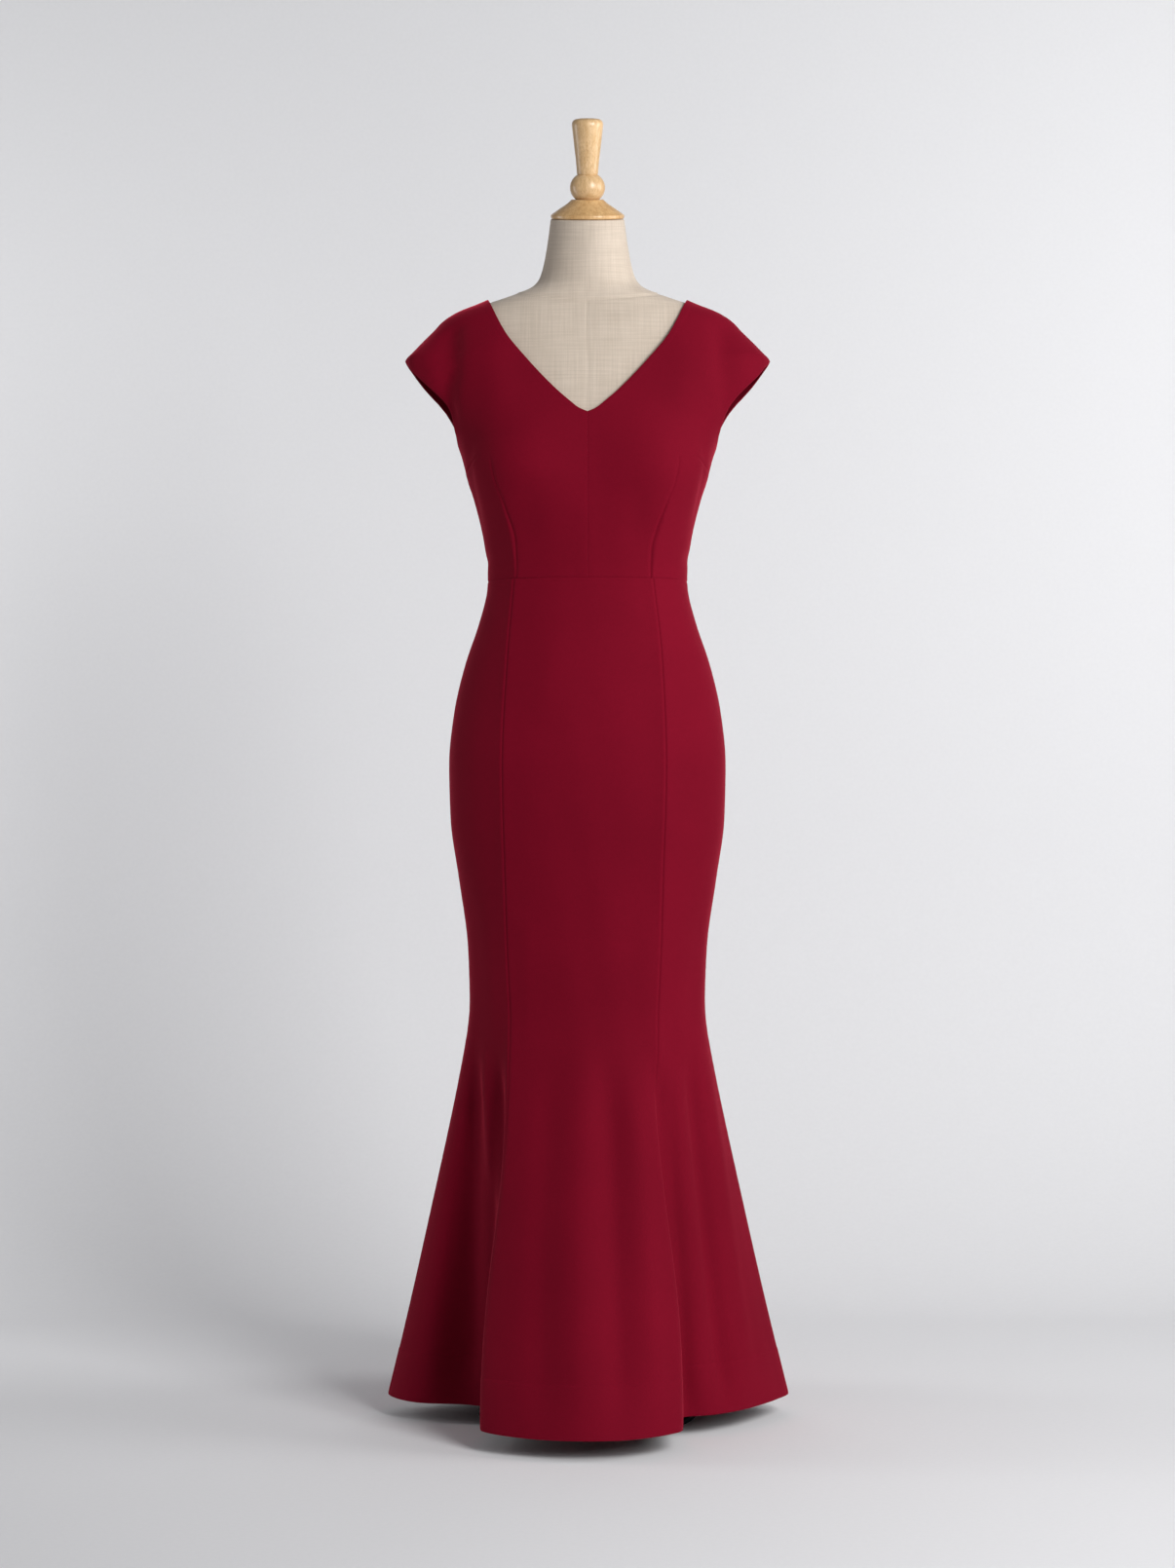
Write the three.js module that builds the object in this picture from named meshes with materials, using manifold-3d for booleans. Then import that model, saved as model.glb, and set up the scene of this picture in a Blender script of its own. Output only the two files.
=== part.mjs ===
// A floor-length mermaid gown with a V neck and grown-on cap sleeves, worn by a limbless dress form
// with a turned wooden neck cap, a pole and a round base. Millimetres, +Z up, and -Y is the front.
// The origin is the centre of the base's underside. +X is the wearer's left, the viewer's right.
import * as THREE from "three";
import { mergeVertices } from "three/addons/utils/BufferGeometryUtils.js";
import Module from "manifold-3d";

// Driving sizes
const CLOTH = 1.6; // thickness of the gown's wall
const SEAM_GAP = 0.3; // between two pieces at a seam
const EASE = 1.5; // between the cloth and the form under it
const INSET = CLOTH + EASE; // from the gown's outside to the form

const HEM_Z = 25;
const KNEE_Z = 520; // the flare starts here
const FORM_BOTTOM_Z = 768;
const WAIST_Z = 1068;
const UNDERARM_Z = 1239;
const V_TIP_Z = 1275;
const SLEEVE_TIP_Z = 1351;
const BACK_NECK_Z = 1362;
const SHOULDER_Z = 1430; // the shoulder seam's end at the neck
const NECK_TOP_Z = 1533;

const NECK_HALF_WIDTH = 128; // of the neckline at the shoulder seams
const SCOOP_POWER = 0.5; // how the back neckline widens with height
const ARMHOLE_REACH = { front: 56, back: 46 }; // of a sleeve's opening, from the side seam's line
const FLARE_POWER = 1.13; // how the flare grows from the knee to the hem
const KNEE_EASE = 36; // height above and below the knee over which the flare comes in

const degrees = THREE.MathUtils.degToRad;
const mix = THREE.MathUtils.lerp;

// The front neckline, as distances from the middle. It starts as a V and bows out over the chest.
const necklineSections = [
  { z: V_TIP_Z, x: 0 },
  { z: 1280, x: 11 },
  { z: 1288, x: 21 },
  { z: 1305, x: 40 },
  { z: 1345, x: 77 },
  { z: 1378, x: 103 },
  { z: SHOULDER_Z, x: NECK_HALF_WIDTH },
];

// Level sections of the gown's outside. half: half the width. front, back: reach from y = 0 at the
// centre front and back. mid: y of the widest place. power: 2 is an ellipse, and more is squarer.
const gownSections = [
  { z: 520, half: 150, front: 104, back: 113, mid: 3, power: 2.2 },
  { z: 600, half: 153, front: 105.5, back: 116, mid: 3, power: 2.2 },
  { z: 690, half: 165.5, front: 111, back: 122, mid: 3, power: 2.2 },
  { z: 765, half: 176, front: 117, back: 127, mid: 3, power: 2.2 },
  { z: 835, half: 177.5, front: 119, back: 128, mid: 3, power: 2.2 },
  { z: 900, half: 171, front: 116, back: 122, mid: 3, power: 2.2 },
  { z: 965, half: 156, front: 108, back: 110, mid: 3, power: 2.2 },
  { z: 1015, half: 139, front: 99, back: 97, mid: 3, power: 2.25 },
  { z: 1068, half: 127.5, front: 93, back: 88, mid: 3, power: 2.3 },
  { z: 1115, half: 132, front: 100, back: 94, mid: 3, power: 2.35 },
  { z: 1165, half: 143, front: 110, back: 101, mid: 3, power: 2.4 },
  { z: 1208, half: 155.5, front: 115.5, back: 105, mid: 4, power: 2.5 },
  { z: 1239, half: 164.5, front: 113, back: 106, mid: 4, power: 2.4 },
  { z: 1267, half: 182, front: 107, back: 106.5, mid: 5, power: 2.4 },
  { z: 1295, half: 207, front: 100.5, back: 105, mid: 6, power: 2.4 },
  { z: 1323, half: 228, front: 94, back: 101.5, mid: 7, power: 2.4 },
  { z: 1340, half: 233.5, front: 89.5, back: 99, mid: 8, power: 2.4 },
  { z: 1351, half: 234.5, front: 86.3, back: 97, mid: 8.4, power: 2.4 },
  { z: 1362, half: 225, front: 83, back: 94.8, mid: 8.7, power: 2.4 },
  { z: 1392, half: 197, front: 71.5, back: 86.5, mid: 10, power: 2.4 },
  { z: 1402, half: 188.5, front: 66.5, back: 83, mid: 10, power: 2.4 },
  { z: 1412, half: 173, front: 61, back: 79.5, mid: 10, power: 2.4 },
  { z: 1422, half: 147, front: 56, back: 76, mid: 10, power: 2.4 },
  { z: 1432, half: 123, front: 52, back: 72.5, mid: 10, power: 2.4 },
];

// The form's own sections from the underarm up. tilt: degrees that a section leans forward.
const shoulderSections = [
  { z: 1239, half: 159, front: 107.5, back: 100.5, mid: 4, power: 2.4, tilt: 0 },
  { z: 1270, half: 160.5, front: 101.5, back: 102.5, mid: 5, power: 2.4, tilt: 0 },
  { z: 1300, half: 164, front: 95, back: 101, mid: 6, power: 2.4, tilt: 0 },
  { z: 1340, half: 172, front: 85, back: 95.5, mid: 8, power: 2.4, tilt: 0 },
  { z: 1370, half: 178.5, front: 76, back: 89, mid: 9, power: 2.4, tilt: 0 },
  { z: 1392, half: 184, front: 67.5, back: 82.5, mid: 10, power: 2.4, tilt: 0 },
  { z: 1402, half: 180, front: 62.5, back: 79, mid: 10, power: 2.4, tilt: 0 },
  { z: 1412, half: 164.5, front: 57, back: 75.5, mid: 10, power: 2.4, tilt: 0 },
  { z: 1420, half: 144, front: 53.5, back: 72.5, mid: 10, power: 2.4, tilt: 0 },
  { z: 1427, half: 122, front: 51, back: 70, mid: 10, power: 2.35, tilt: 0 },
  { z: 1437, half: 94, front: 49.5, back: 66.5, mid: 9, power: 2.25, tilt: 1 },
  { z: 1448, half: 70, front: 50, back: 63, mid: 8, power: 2.1, tilt: 3 },
  { z: 1461, half: 60.5, front: 51.5, back: 60, mid: 5, power: 2, tilt: 5 },
  { z: 1498, half: 52, front: 52.5, back: 50.5, mid: -1, power: 2, tilt: 9 },
  { z: 1533, half: 47.2, front: 53.2, back: 41.2, mid: -6, power: 2, tilt: 12 },
];

// The hem's outline. at: degrees from the centre front, minus on the wearer's right. A crest of a
// flute has a large radius, and a valley between two flutes a small one.
const hemFolds = [
  { at: -180, radius: 260 },
  { at: -164, radius: 224 },
  { at: -149, radius: 243 },
  { at: -136, radius: 214 },
  { at: -122, radius: 190 },
  { at: -107, radius: 228 },
  { at: -93, radius: 257 },
  { at: -84, radius: 243.5 },
  { at: -75, radius: 214 },
  { at: -71, radius: 183 },
  { at: -67, radius: 165 },
  { at: -60, radius: 152 },
  { at: -52, radius: 148 },
  { at: -44, radius: 173 },
  { at: -36.5, radius: 212 },
  { at: -29.5, radius: 260 },
  { at: -20, radius: 273 },
  { at: -10, radius: 280 },
  { at: 0, radius: 283 },
  { at: 10, radius: 280 },
  { at: 18, radius: 270 },
  { at: 26.4, radius: 254 },
  { at: 33, radius: 213 },
  { at: 41, radius: 184 },
  { at: 49, radius: 198 },
  { at: 57, radius: 209 },
  { at: 66, radius: 219 },
  { at: 75, radius: 230 },
  { at: 84, radius: 244 },
  { at: 93, radius: 259 },
  { at: 108, radius: 225 },
  { at: 121, radius: 193 },
  { at: 135, radius: 212 },
  { at: 150, radius: 246 },
  { at: 166, radius: 226 },
  { at: 180, radius: 260 },
];

// Where the long seams cross each level, as distances from the middle. right and left are the wearer's.
const seamSections = [
  { z: 520, right: 99, left: 90, back: 84 },
  { z: 690, right: 103, left: 93, back: 90 },
  { z: 835, right: 106, left: 97, back: 92 },
  { z: 965, right: 100, left: 92, back: 80 },
  { z: 1068, right: 91, left: 81, back: 66 },
];
const HEM_SEAM_DEGREES = { right: 29.5, left: 26.4, back: 149 };
const PINCH = { z: 360, spread: 110, depth: 4.9 }; // degrees that the front seams draw in under the knee

const BUST = { x: 93, z: 1207, reach: 15, wide: 36, tall: 42 };
const SLEEVE_CREASE = { x: 178, z: 1345, depth: 7.5, wide: 13, tall: 38 };

// A smooth curve through a table's column, with no overshoot between rows.
function column(rows, key, name) {
  const t = rows.map((row) => row[key]);
  const v = rows.map((row) => row[name]);
  const last = t.length - 1;
  const rise = t.slice(1).map((next, i) => (v[i + 1] - v[i]) / (next - t[i]));
  const slope = v.map((_, i) => {
    if (i === 0) return rise[0];
    if (i === last) return rise[last - 1];
    if (rise[i - 1] * rise[i] <= 0) return 0;
    return (2 * rise[i - 1] * rise[i]) / (rise[i - 1] + rise[i]);
  });
  return (at) => {
    const clamped = Math.min(Math.max(at, t[0]), t[last]);
    let i = 0;
    while (i < last - 1 && clamped > t[i + 1]) i += 1;
    const span = t[i + 1] - t[i];
    const u = (clamped - t[i]) / span;
    const ease = u * u * (3 - 2 * u);
    const leave = u * (1 - u) * (1 - u) * span * slope[i];
    const arrive = u * u * (u - 1) * span * slope[i + 1];
    return mix(v[i], v[i + 1], ease) + leave + arrive;
  };
}

function sections(rows) {
  const names = Object.keys(rows[0]).filter((name) => name !== "z");
  const curves = names.map((name) => [name, column(rows, "z", name)]);
  return (z) => Object.fromEntries(curves.map(([name, curve]) => [name, curve(z)]));
}

const gownAt = sections(gownSections);
const seamsAt = sections(seamSections);
const necklineAt = column(necklineSections, "z", "x");

// The folds run on past the centre back, so that the curve is level at its crest.
const turnedBy = (row, turn) => ({ ...row, at: row.at + turn });
const foldsRound = [turnedBy(hemFolds.at(-2), -360), ...hemFolds, turnedBy(hemFolds[1], 360)];
const hemRadius = column(foldsRound, "at", "radius");

const inset = (row) => ({
  ...row,
  half: row.half - INSET,
  front: row.front - INSET,
  back: row.back - INSET,
  tilt: 0,
});
const torsoSections = gownSections.filter((row) => row.z > 700 && row.z < UNDERARM_Z).map(inset);
const formAt = sections([...torsoSections, ...shoulderSections]);

const bell = (distance, width) => Math.exp(-(distance * distance) / (2 * width * width));

// The distance from a section's middle to its outline, at an angle from the centre front.
function outline(section, angle) {
  const across = Math.abs(Math.sin(angle)) / section.half;
  const reach = Math.cos(angle) > 0 ? section.front + section.mid : section.back - section.mid;
  const along = Math.abs(Math.cos(angle)) / reach;
  return (across ** section.power + along ** section.power) ** (-1 / section.power);
}

function bustFullness(angle, radius, z) {
  const facing = THREE.MathUtils.smoothstep(Math.cos(angle), 0, 0.5);
  const x = Math.abs(radius * Math.sin(angle));
  return facing * BUST.reach * bell(x - BUST.x, BUST.wide) * bell(z - BUST.z, BUST.tall);
}

function sleeveCrease(angle, radius, z) {
  const x = Math.abs(radius * Math.sin(angle));
  const { depth, wide, tall } = SLEEVE_CREASE;
  return depth * bell(x - SLEEVE_CREASE.x, wide) * bell(z - SLEEVE_CREASE.z, tall);
}

// How much of the hem's outline a level has: none above the knee, all of it at the hem.
function flare(z) {
  const below = KNEE_Z - z;
  const eased = Math.abs(below) < KNEE_EASE ? (below + KNEE_EASE) ** 2 / (4 * KNEE_EASE) : Math.max(below, 0);
  return (eased / (KNEE_Z - HEM_Z)) ** FLARE_POWER;
}

// The place on the hem, in degrees, of the fold that runs through a point. A panel's folds keep their
// share of its width all the way up.
function foldDegrees(angle, z) {
  const name = angle < 0 ? "right" : "left";
  const size = Math.abs(angle);
  const seams = [0, longSeam(name, z), Math.PI / 2, longSeam("back", z), Math.PI];
  const hemSeams = [0, HEM_SEAM_DEGREES[name], 90, HEM_SEAM_DEGREES.back, 180];
  let i = 0;
  while (i < seams.length - 2 && size > seams[i + 1]) i += 1;
  const share = (size - seams[i]) / (seams[i + 1] - seams[i]);
  return Math.sign(angle) * mix(hemSeams[i], hemSeams[i + 1], share);
}

// A point of the gown's outside. angle is signed: minus is the wearer's right, plus the left.
function gownPoint(angle, z) {
  const section = gownAt(z);
  let radius = outline(section, angle);
  radius += bustFullness(angle, radius, z) - sleeveCrease(angle, radius, z);
  const share = flare(z);
  const mid = section.mid * (1 - share);
  if (share > 0) radius = mix(radius, hemRadius(foldDegrees(angle, z)), share);
  return new THREE.Vector3(radius * Math.sin(angle), mid - radius * Math.cos(angle), z);
}

const ANGLE_STEP = 1e-4;
const HEIGHT_STEP = 0.05;

function gownNormal(angle, z) {
  const round = gownPoint(angle + ANGLE_STEP, z).sub(gownPoint(angle - ANGLE_STEP, z));
  const low = Math.max(z - HEIGHT_STEP, HEM_Z);
  const up = gownPoint(angle, low + 2 * HEIGHT_STEP).sub(gownPoint(angle, low));
  return round.cross(up).normalize();
}

// The angle that half a seam's gap takes up.
function gapAngle(angle, z) {
  const run = gownPoint(angle + ANGLE_STEP, z).distanceTo(gownPoint(angle - ANGLE_STEP, z));
  return ((SEAM_GAP / 2) * 2 * ANGLE_STEP) / run;
}

// The angle at which a level of the gown has a given distance from the middle.
function angleAcross(x, z, behind) {
  const section = gownAt(z);
  const share = Math.min(x / section.half, 1);
  const reach = behind ? section.back - section.mid : section.front + section.mid;
  const depth = reach * (1 - share ** section.power) ** (1 / section.power);
  return behind ? Math.PI - Math.atan2(x, depth) : Math.atan2(x, depth);
}

function longSeam(name, z) {
  const level = Math.max(z, KNEE_Z);
  const fitted = angleAcross(seamsAt(level)[name], level, name === "back");
  const pinch = name === "back" ? 0 : degrees(PINCH.depth) * bell(z - PINCH.z, PINCH.spread);
  return mix(fitted, degrees(HEM_SEAM_DEGREES[name]), flare(z)) - pinch;
}

// The reach of the sleeve's opening at a level, before or behind the side, as half of an upright oval.
function armholeReach(z, behind) {
  const middle = (UNDERARM_Z + SLEEVE_TIP_Z) / 2;
  const share = (z - middle) / (SLEEVE_TIP_Z - middle);
  const widest = behind ? ARMHOLE_REACH.back : ARMHOLE_REACH.front;
  return widest * Math.sqrt(Math.max(0, 1 - share * share));
}

// The angle of the bodice's outer edge: side seam, then sleeve opening, then shoulder seam.
function bodiceSide(z, behind) {
  const side = Math.PI / 2;
  const gap = gapAngle(side, z);
  const depth = armholeReach(z, behind);
  let open = 0;
  if (z > UNDERARM_Z && z < SLEEVE_TIP_Z) {
    const section = gownAt(z);
    const reach = behind ? section.back - section.mid : section.front + section.mid;
    const share = (1 - (depth / reach) ** section.power) ** (1 / section.power);
    open = Math.atan2(depth, section.half * share);
  }
  return behind ? side + Math.max(gap, open) : side - Math.max(gap, open);
}

// The angle of the bodice's inner edge: centre seam, then neckline.
function bodiceMiddle(z, behind) {
  const centre = behind ? Math.PI : 0;
  const gap = gapAngle(centre, z);
  const scoop = Math.max(0, (z - BACK_NECK_Z) / (SHOULDER_Z - BACK_NECK_Z)) ** SCOOP_POWER;
  const angle = angleAcross(behind ? NECK_HALF_WIDTH * scoop : necklineAt(z), z, behind);
  return behind ? Math.min(angle, centre - gap) : Math.max(angle, gap);
}

// A closed wall between a grid of outer points and the inner points behind them.
function wallGeometry(outer, inner) {
  const rows = outer.length;
  const columns = outer[0].length;
  const positions = [...outer.flat(), ...inner.flat()].flatMap((p) => p.toArray());
  const at = (row, col, layer) => layer * rows * columns + row * columns + col;
  const faces = [];
  const quad = (a, b, c, d) => faces.push(a, b, c, a, c, d);
  for (let r = 0; r < rows - 1; r += 1) {
    for (let c = 0; c < columns - 1; c += 1) {
      quad(at(r, c, 0), at(r, c + 1, 0), at(r + 1, c + 1, 0), at(r + 1, c, 0));
      quad(at(r, c, 1), at(r + 1, c, 1), at(r + 1, c + 1, 1), at(r, c + 1, 1));
    }
    quad(at(r, 0, 0), at(r + 1, 0, 0), at(r + 1, 0, 1), at(r, 0, 1));
    const c = columns - 1;
    quad(at(r, c, 0), at(r, c, 1), at(r + 1, c, 1), at(r + 1, c, 0));
  }
  for (let c = 0; c < columns - 1; c += 1) {
    quad(at(0, c, 0), at(0, c, 1), at(0, c + 1, 1), at(0, c + 1, 0));
    const r = rows - 1;
    quad(at(r, c, 0), at(r, c + 1, 0), at(r, c + 1, 1), at(r, c, 1));
  }
  const geometry = new THREE.BufferGeometry();
  geometry.setAttribute("position", new THREE.Float32BufferAttribute(positions, 3));
  geometry.setIndex(faces);
  geometry.computeVertexNormals();
  return geometry;
}

// A panel of cloth from its lower edge up, between two edge angles at each level.
function panelGeometry(levels, from, to, columns) {
  const outer = [];
  const inner = [];
  for (const z of levels) {
    const start = from(z);
    const end = to(z);
    const angles = Array.from({ length: columns + 1 }, (_, i) => mix(start, end, i / columns));
    const points = angles.map((angle) => gownPoint(angle, z));
    outer.push(points);
    inner.push(points.map((p, i) => p.clone().addScaledVector(gownNormal(angles[i], z), -CLOTH)));
  }
  return wallGeometry(outer, inner);
}

const colours = { crepe: "#7a0f22", linen: "#c8b9a5", wood: "#cda470", steel: "#2b2b2d", metal: "#8c1426" };
const cloth = new THREE.MeshStandardMaterial({ color: colours.crepe, roughness: 0.85 });
const linen = new THREE.MeshStandardMaterial({ color: colours.linen, roughness: 0.9 });
const wood = new THREE.MeshStandardMaterial({ color: colours.wood, roughness: 0.4 });
const steel = new THREE.MeshStandardMaterial({ color: colours.steel, roughness: 0.5, metalness: 0.7 });
const enamel = new THREE.MeshStandardMaterial({ color: colours.metal, roughness: 0.4, metalness: 0.3 });

const group = new THREE.Group();

function add(name, geometry, material, parent = group) {
  const mesh = new THREE.Mesh(geometry, material);
  mesh.name = name;
  parent.add(mesh);
  return mesh;
}

// Bodice: two fronts and two backs, each with its half of the cap sleeves
const armholeLevels = [1, 2, 3, 4, 5].map(
  (step) => mix(UNDERARM_Z, SLEEVE_TIP_Z, (1 - Math.cos((step * Math.PI) / 6)) / 2),
);
const bodiceLevels = [
  ...[WAIST_Z + SEAM_GAP / 2, 1098, 1130, 1162, 1186, 1208, UNDERARM_Z],
  ...[...armholeLevels, V_TIP_Z].sort((a, b) => a - b),
  ...[SLEEVE_TIP_Z, BACK_NECK_Z, 1366, 1377, 1389, 1399, 1408, 1416, 1423, 1428.5],
];
const BODICE_COLUMNS = 9;

for (const [name, sign] of [["right", -1], ["left", 1]]) {
  const part = (behind) => {
    const middle = (z) => sign * bodiceMiddle(z, behind);
    const side = (z) => sign * bodiceSide(z, behind);
    const fromSide = (sign < 0) !== behind;
    const [from, to] = fromSide ? [side, middle] : [middle, side];
    return panelGeometry(bodiceLevels, from, to, BODICE_COLUMNS);
  };
  add(`bodice_front_${name}`, part(false), cloth);
  add(`bodice_back_${name}`, part(true), cloth);
}

// Skirt: a centre front, two side fronts, two side backs and two centre backs
const skirtLevels = [
  ...[HEM_Z, 110, 195, 275, 345, 405, 450, 486, 512, 538, 580, 635, 695, 750, 795, 835],
  ...[875, 920, 965, 1015, WAIST_Z - SEAM_GAP / 2],
];
const sideSeam = (sign) => () => (sign * Math.PI) / 2;
const frontSeam = (sign) => (z) => sign * longSeam(sign < 0 ? "right" : "left", z);
const backSeam = (sign) => (z) => sign * longSeam("back", z);
const centreBack = (sign) => () => sign * Math.PI;
const skirtPanels = [
  { name: "skirt_front_centre", from: frontSeam(-1), to: frontSeam(1), columns: 11 },
  { name: "skirt_front_side_left", from: frontSeam(1), to: sideSeam(1), columns: 10 },
  { name: "skirt_back_side_left", from: sideSeam(1), to: backSeam(1), columns: 8 },
  { name: "skirt_back_centre_left", from: backSeam(1), to: centreBack(1), columns: 6 },
  { name: "skirt_back_centre_right", from: centreBack(-1), to: backSeam(-1), columns: 6 },
  { name: "skirt_back_side_right", from: backSeam(-1), to: sideSeam(-1), columns: 8 },
  { name: "skirt_front_side_right", from: sideSeam(-1), to: frontSeam(-1), columns: 10 },
];
for (const { name, from, to, columns } of skirtPanels) {
  const start = (z) => from(z) + gapAngle(from(z), z);
  const end = (z) => to(z) - gapAngle(to(z), z);
  add(name, panelGeometry(skirtLevels, start, end, columns), cloth);
}

// The form's torso and neck, one smooth body with a flat underside
const FORM_SIDES = 36;
const formLevels = [
  ...[FORM_BOTTOM_Z, 778, 835, 900, 965, 1015, 1068, 1098, 1130, 1162, 1186, 1208, 1239, 1270, 1310],
  ...[1350, 1377, 1392, 1402, 1412, 1420, 1427, 1437, 1448, 1461, 1485, 1510, NECK_TOP_Z],
];
const FOOT_ROUNDING = 4; // the torso's lower edge is drawn in by this much

function formRing(z, shrink) {
  const section = formAt(z);
  return Array.from({ length: FORM_SIDES }, (_, i) => {
    const angle = (i / FORM_SIDES) * 2 * Math.PI;
    const plain = outline(section, angle);
    const radius = plain + bustFullness(angle, plain, z) - shrink;
    const back = -radius * Math.cos(angle);
    const lift = back * Math.tan(degrees(section.tilt));
    return new THREE.Vector3(radius * Math.sin(angle), section.mid + back, z + lift);
  });
}

function loftGeometry(rings) {
  const sides = rings[0].length;
  const middle = (ring) => ring.reduce((sum, p) => sum.add(p), new THREE.Vector3()).divideScalar(sides);
  const points = [...rings.flat(), middle(rings[0]), middle(rings[rings.length - 1])];
  const foot = rings.length * sides;
  const faces = [];
  for (let i = 0; i < sides; i += 1) {
    const next = (i + 1) % sides;
    for (let r = 0; r < rings.length - 1; r += 1) {
      const low = r * sides;
      const high = low + sides;
      faces.push(low + i, low + next, high + next, low + i, high + next, high + i);
    }
    const top = (rings.length - 1) * sides;
    faces.push(foot, next, i, foot + 1, top + i, top + next);
  }
  const geometry = new THREE.BufferGeometry();
  geometry.setAttribute("position", new THREE.Float32BufferAttribute(points.flatMap((p) => p.toArray()), 3));
  geometry.setIndex(faces);
  geometry.computeVertexNormals();
  return geometry;
}

add("form_body", loftGeometry(formLevels.map((z) => formRing(z, z === FORM_BOTTOM_Z ? FOOT_ROUNDING : 0))), linen);

// A turned part: an outline of radius and height, closed on the axis or on itself, turned about +Z.
function turned(rows, sides) {
  const points = rows.map(({ radius, height }) => new THREE.Vector2(radius, height));
  return new THREE.LatheGeometry(points, sides).rotateX(Math.PI / 2);
}

// The neck cap and its finial stand square on the neck's tilted top, and their heights are from it
const neckTop = formAt(NECK_TOP_Z);
const capGroup = new THREE.Group();
capGroup.position.set(0, neckTop.mid, NECK_TOP_Z);
capGroup.rotation.x = degrees(neckTop.tilt);
group.add(capGroup);

const CAP_RADIUS = 47;
const CAP_HEIGHT = 24.5;
const BEAD = { radius: 22.5, centre: 39.5, sphere: 20.1, foot: CAP_HEIGHT + SEAM_GAP, top: 56, rows: 9 };
const WOOD_SIDES = 28;

const capOutline = [
  { radius: 0, height: SEAM_GAP },
  { radius: CAP_RADIUS - 1.5, height: SEAM_GAP },
  { radius: CAP_RADIUS, height: 1.8 },
  { radius: CAP_RADIUS, height: 5 },
  { radius: 43.5, height: 8 },
  { radius: 35, height: 13.6 },
  { radius: 26.5, height: 19.5 },
  { radius: 20.5, height: CAP_HEIGHT },
  { radius: 0, height: CAP_HEIGHT },
];
const beadOutline = Array.from({ length: BEAD.rows }, (_, i) => {
  const height = mix(BEAD.foot, BEAD.top, i / (BEAD.rows - 1));
  const share = (height - BEAD.centre) / BEAD.sphere;
  return { radius: BEAD.radius * Math.sqrt(1 - share * share), height };
});
const gripOutline = [
  { radius: 13.6, height: 57.5 },
  { radius: 14.2, height: 66 },
  { radius: 16.4, height: 86 },
  { radius: 18.5, height: 104 },
  { radius: 20, height: 118 },
  { radius: 19.2, height: 122 },
  { radius: 15.5, height: 125 },
  { radius: 0, height: 126.5 },
];
const finialOutline = [{ radius: 0, height: BEAD.foot }, ...beadOutline, ...gripOutline];
add("neck_cap", turned(capOutline, WOOD_SIDES), wood, capGroup);
add("finial", turned(finialOutline, WOOD_SIDES), wood, capGroup);

// Round base, the collar on it, the pole, and the flange that holds the torso
const POLE_RADIUS = 14;
const BORE_RADIUS = POLE_RADIUS + SEAM_GAP;
const BASE = { radius: 140, edge: 7, rim: 12, crown: 15, sides: 36 };
const COLLAR = { radius: 26, foot: BASE.crown + SEAM_GAP, top: 46, bevel: 3 };
const FLANGE = { radius: 52, hubRadius: 24, plate: 8, depth: 40, cap: 4, bevel: 2, top: FORM_BOTTOM_Z - SEAM_GAP };
const POLE_SIDES = 16;

const baseOutline = [
  { radius: 0, height: 0 },
  { radius: BASE.radius - 2, height: 0 },
  { radius: BASE.radius, height: 2 },
  { radius: BASE.radius, height: BASE.edge },
  { radius: BASE.radius - 5, height: BASE.rim - 1 },
  { radius: BASE.radius - 20, height: BASE.rim },
  { radius: COLLAR.radius + 6, height: BASE.crown },
  { radius: 0, height: BASE.crown },
];
const collarOutline = [
  { radius: BORE_RADIUS, height: COLLAR.foot },
  { radius: COLLAR.radius, height: COLLAR.foot },
  { radius: COLLAR.radius, height: COLLAR.top - COLLAR.bevel },
  { radius: COLLAR.radius - COLLAR.bevel, height: COLLAR.top },
  { radius: BORE_RADIUS, height: COLLAR.top },
  { radius: BORE_RADIUS, height: COLLAR.foot },
];
const flangeOutline = [
  { radius: 0, height: FLANGE.top - FLANGE.cap },
  { radius: BORE_RADIUS, height: FLANGE.top - FLANGE.cap },
  { radius: BORE_RADIUS, height: FLANGE.top - FLANGE.depth },
  { radius: FLANGE.hubRadius - FLANGE.bevel, height: FLANGE.top - FLANGE.depth },
  { radius: FLANGE.hubRadius, height: FLANGE.top - FLANGE.depth + FLANGE.bevel },
  { radius: FLANGE.hubRadius, height: FLANGE.top - FLANGE.plate },
  { radius: FLANGE.radius, height: FLANGE.top - FLANGE.plate },
  { radius: FLANGE.radius, height: FLANGE.top },
  { radius: 0, height: FLANGE.top },
];
const poleOutline = [
  { radius: 0, height: BASE.crown + SEAM_GAP },
  { radius: POLE_RADIUS, height: BASE.crown + SEAM_GAP },
  { radius: POLE_RADIUS, height: FLANGE.top - FLANGE.cap - SEAM_GAP },
  { radius: 0, height: FLANGE.top - FLANGE.cap - SEAM_GAP },
];
add("stand_base", turned(baseOutline, BASE.sides), steel);
add("stand_collar", turned(collarOutline, POLE_SIDES), steel);
add("stand_pole", turned(poleOutline, POLE_SIDES), steel);
add("pole_flange", turned(flangeOutline, POLE_SIDES), steel);

// Concealed zip in the centre back seam: the slider at its top, and the pull that hangs from it.
// Both are made about the pull's hinge, with +Y off the cloth and +Z up the seam.
const SLIDER = { halfWidth: 3, halfHeight: 4.5, thick: 1.6, stand: 1.2, eye: 1.2, arch: 2.1, archWidth: 1.4 };
const PULL = { length: 21, thick: 1.2, slotFoot: 3, slotHalf: 1.1, neckHalf: 2.1, footHalf: 3 };
const ZIP_Z = BACK_NECK_Z - 9;
const ARC_STEPS = 6;

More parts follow.
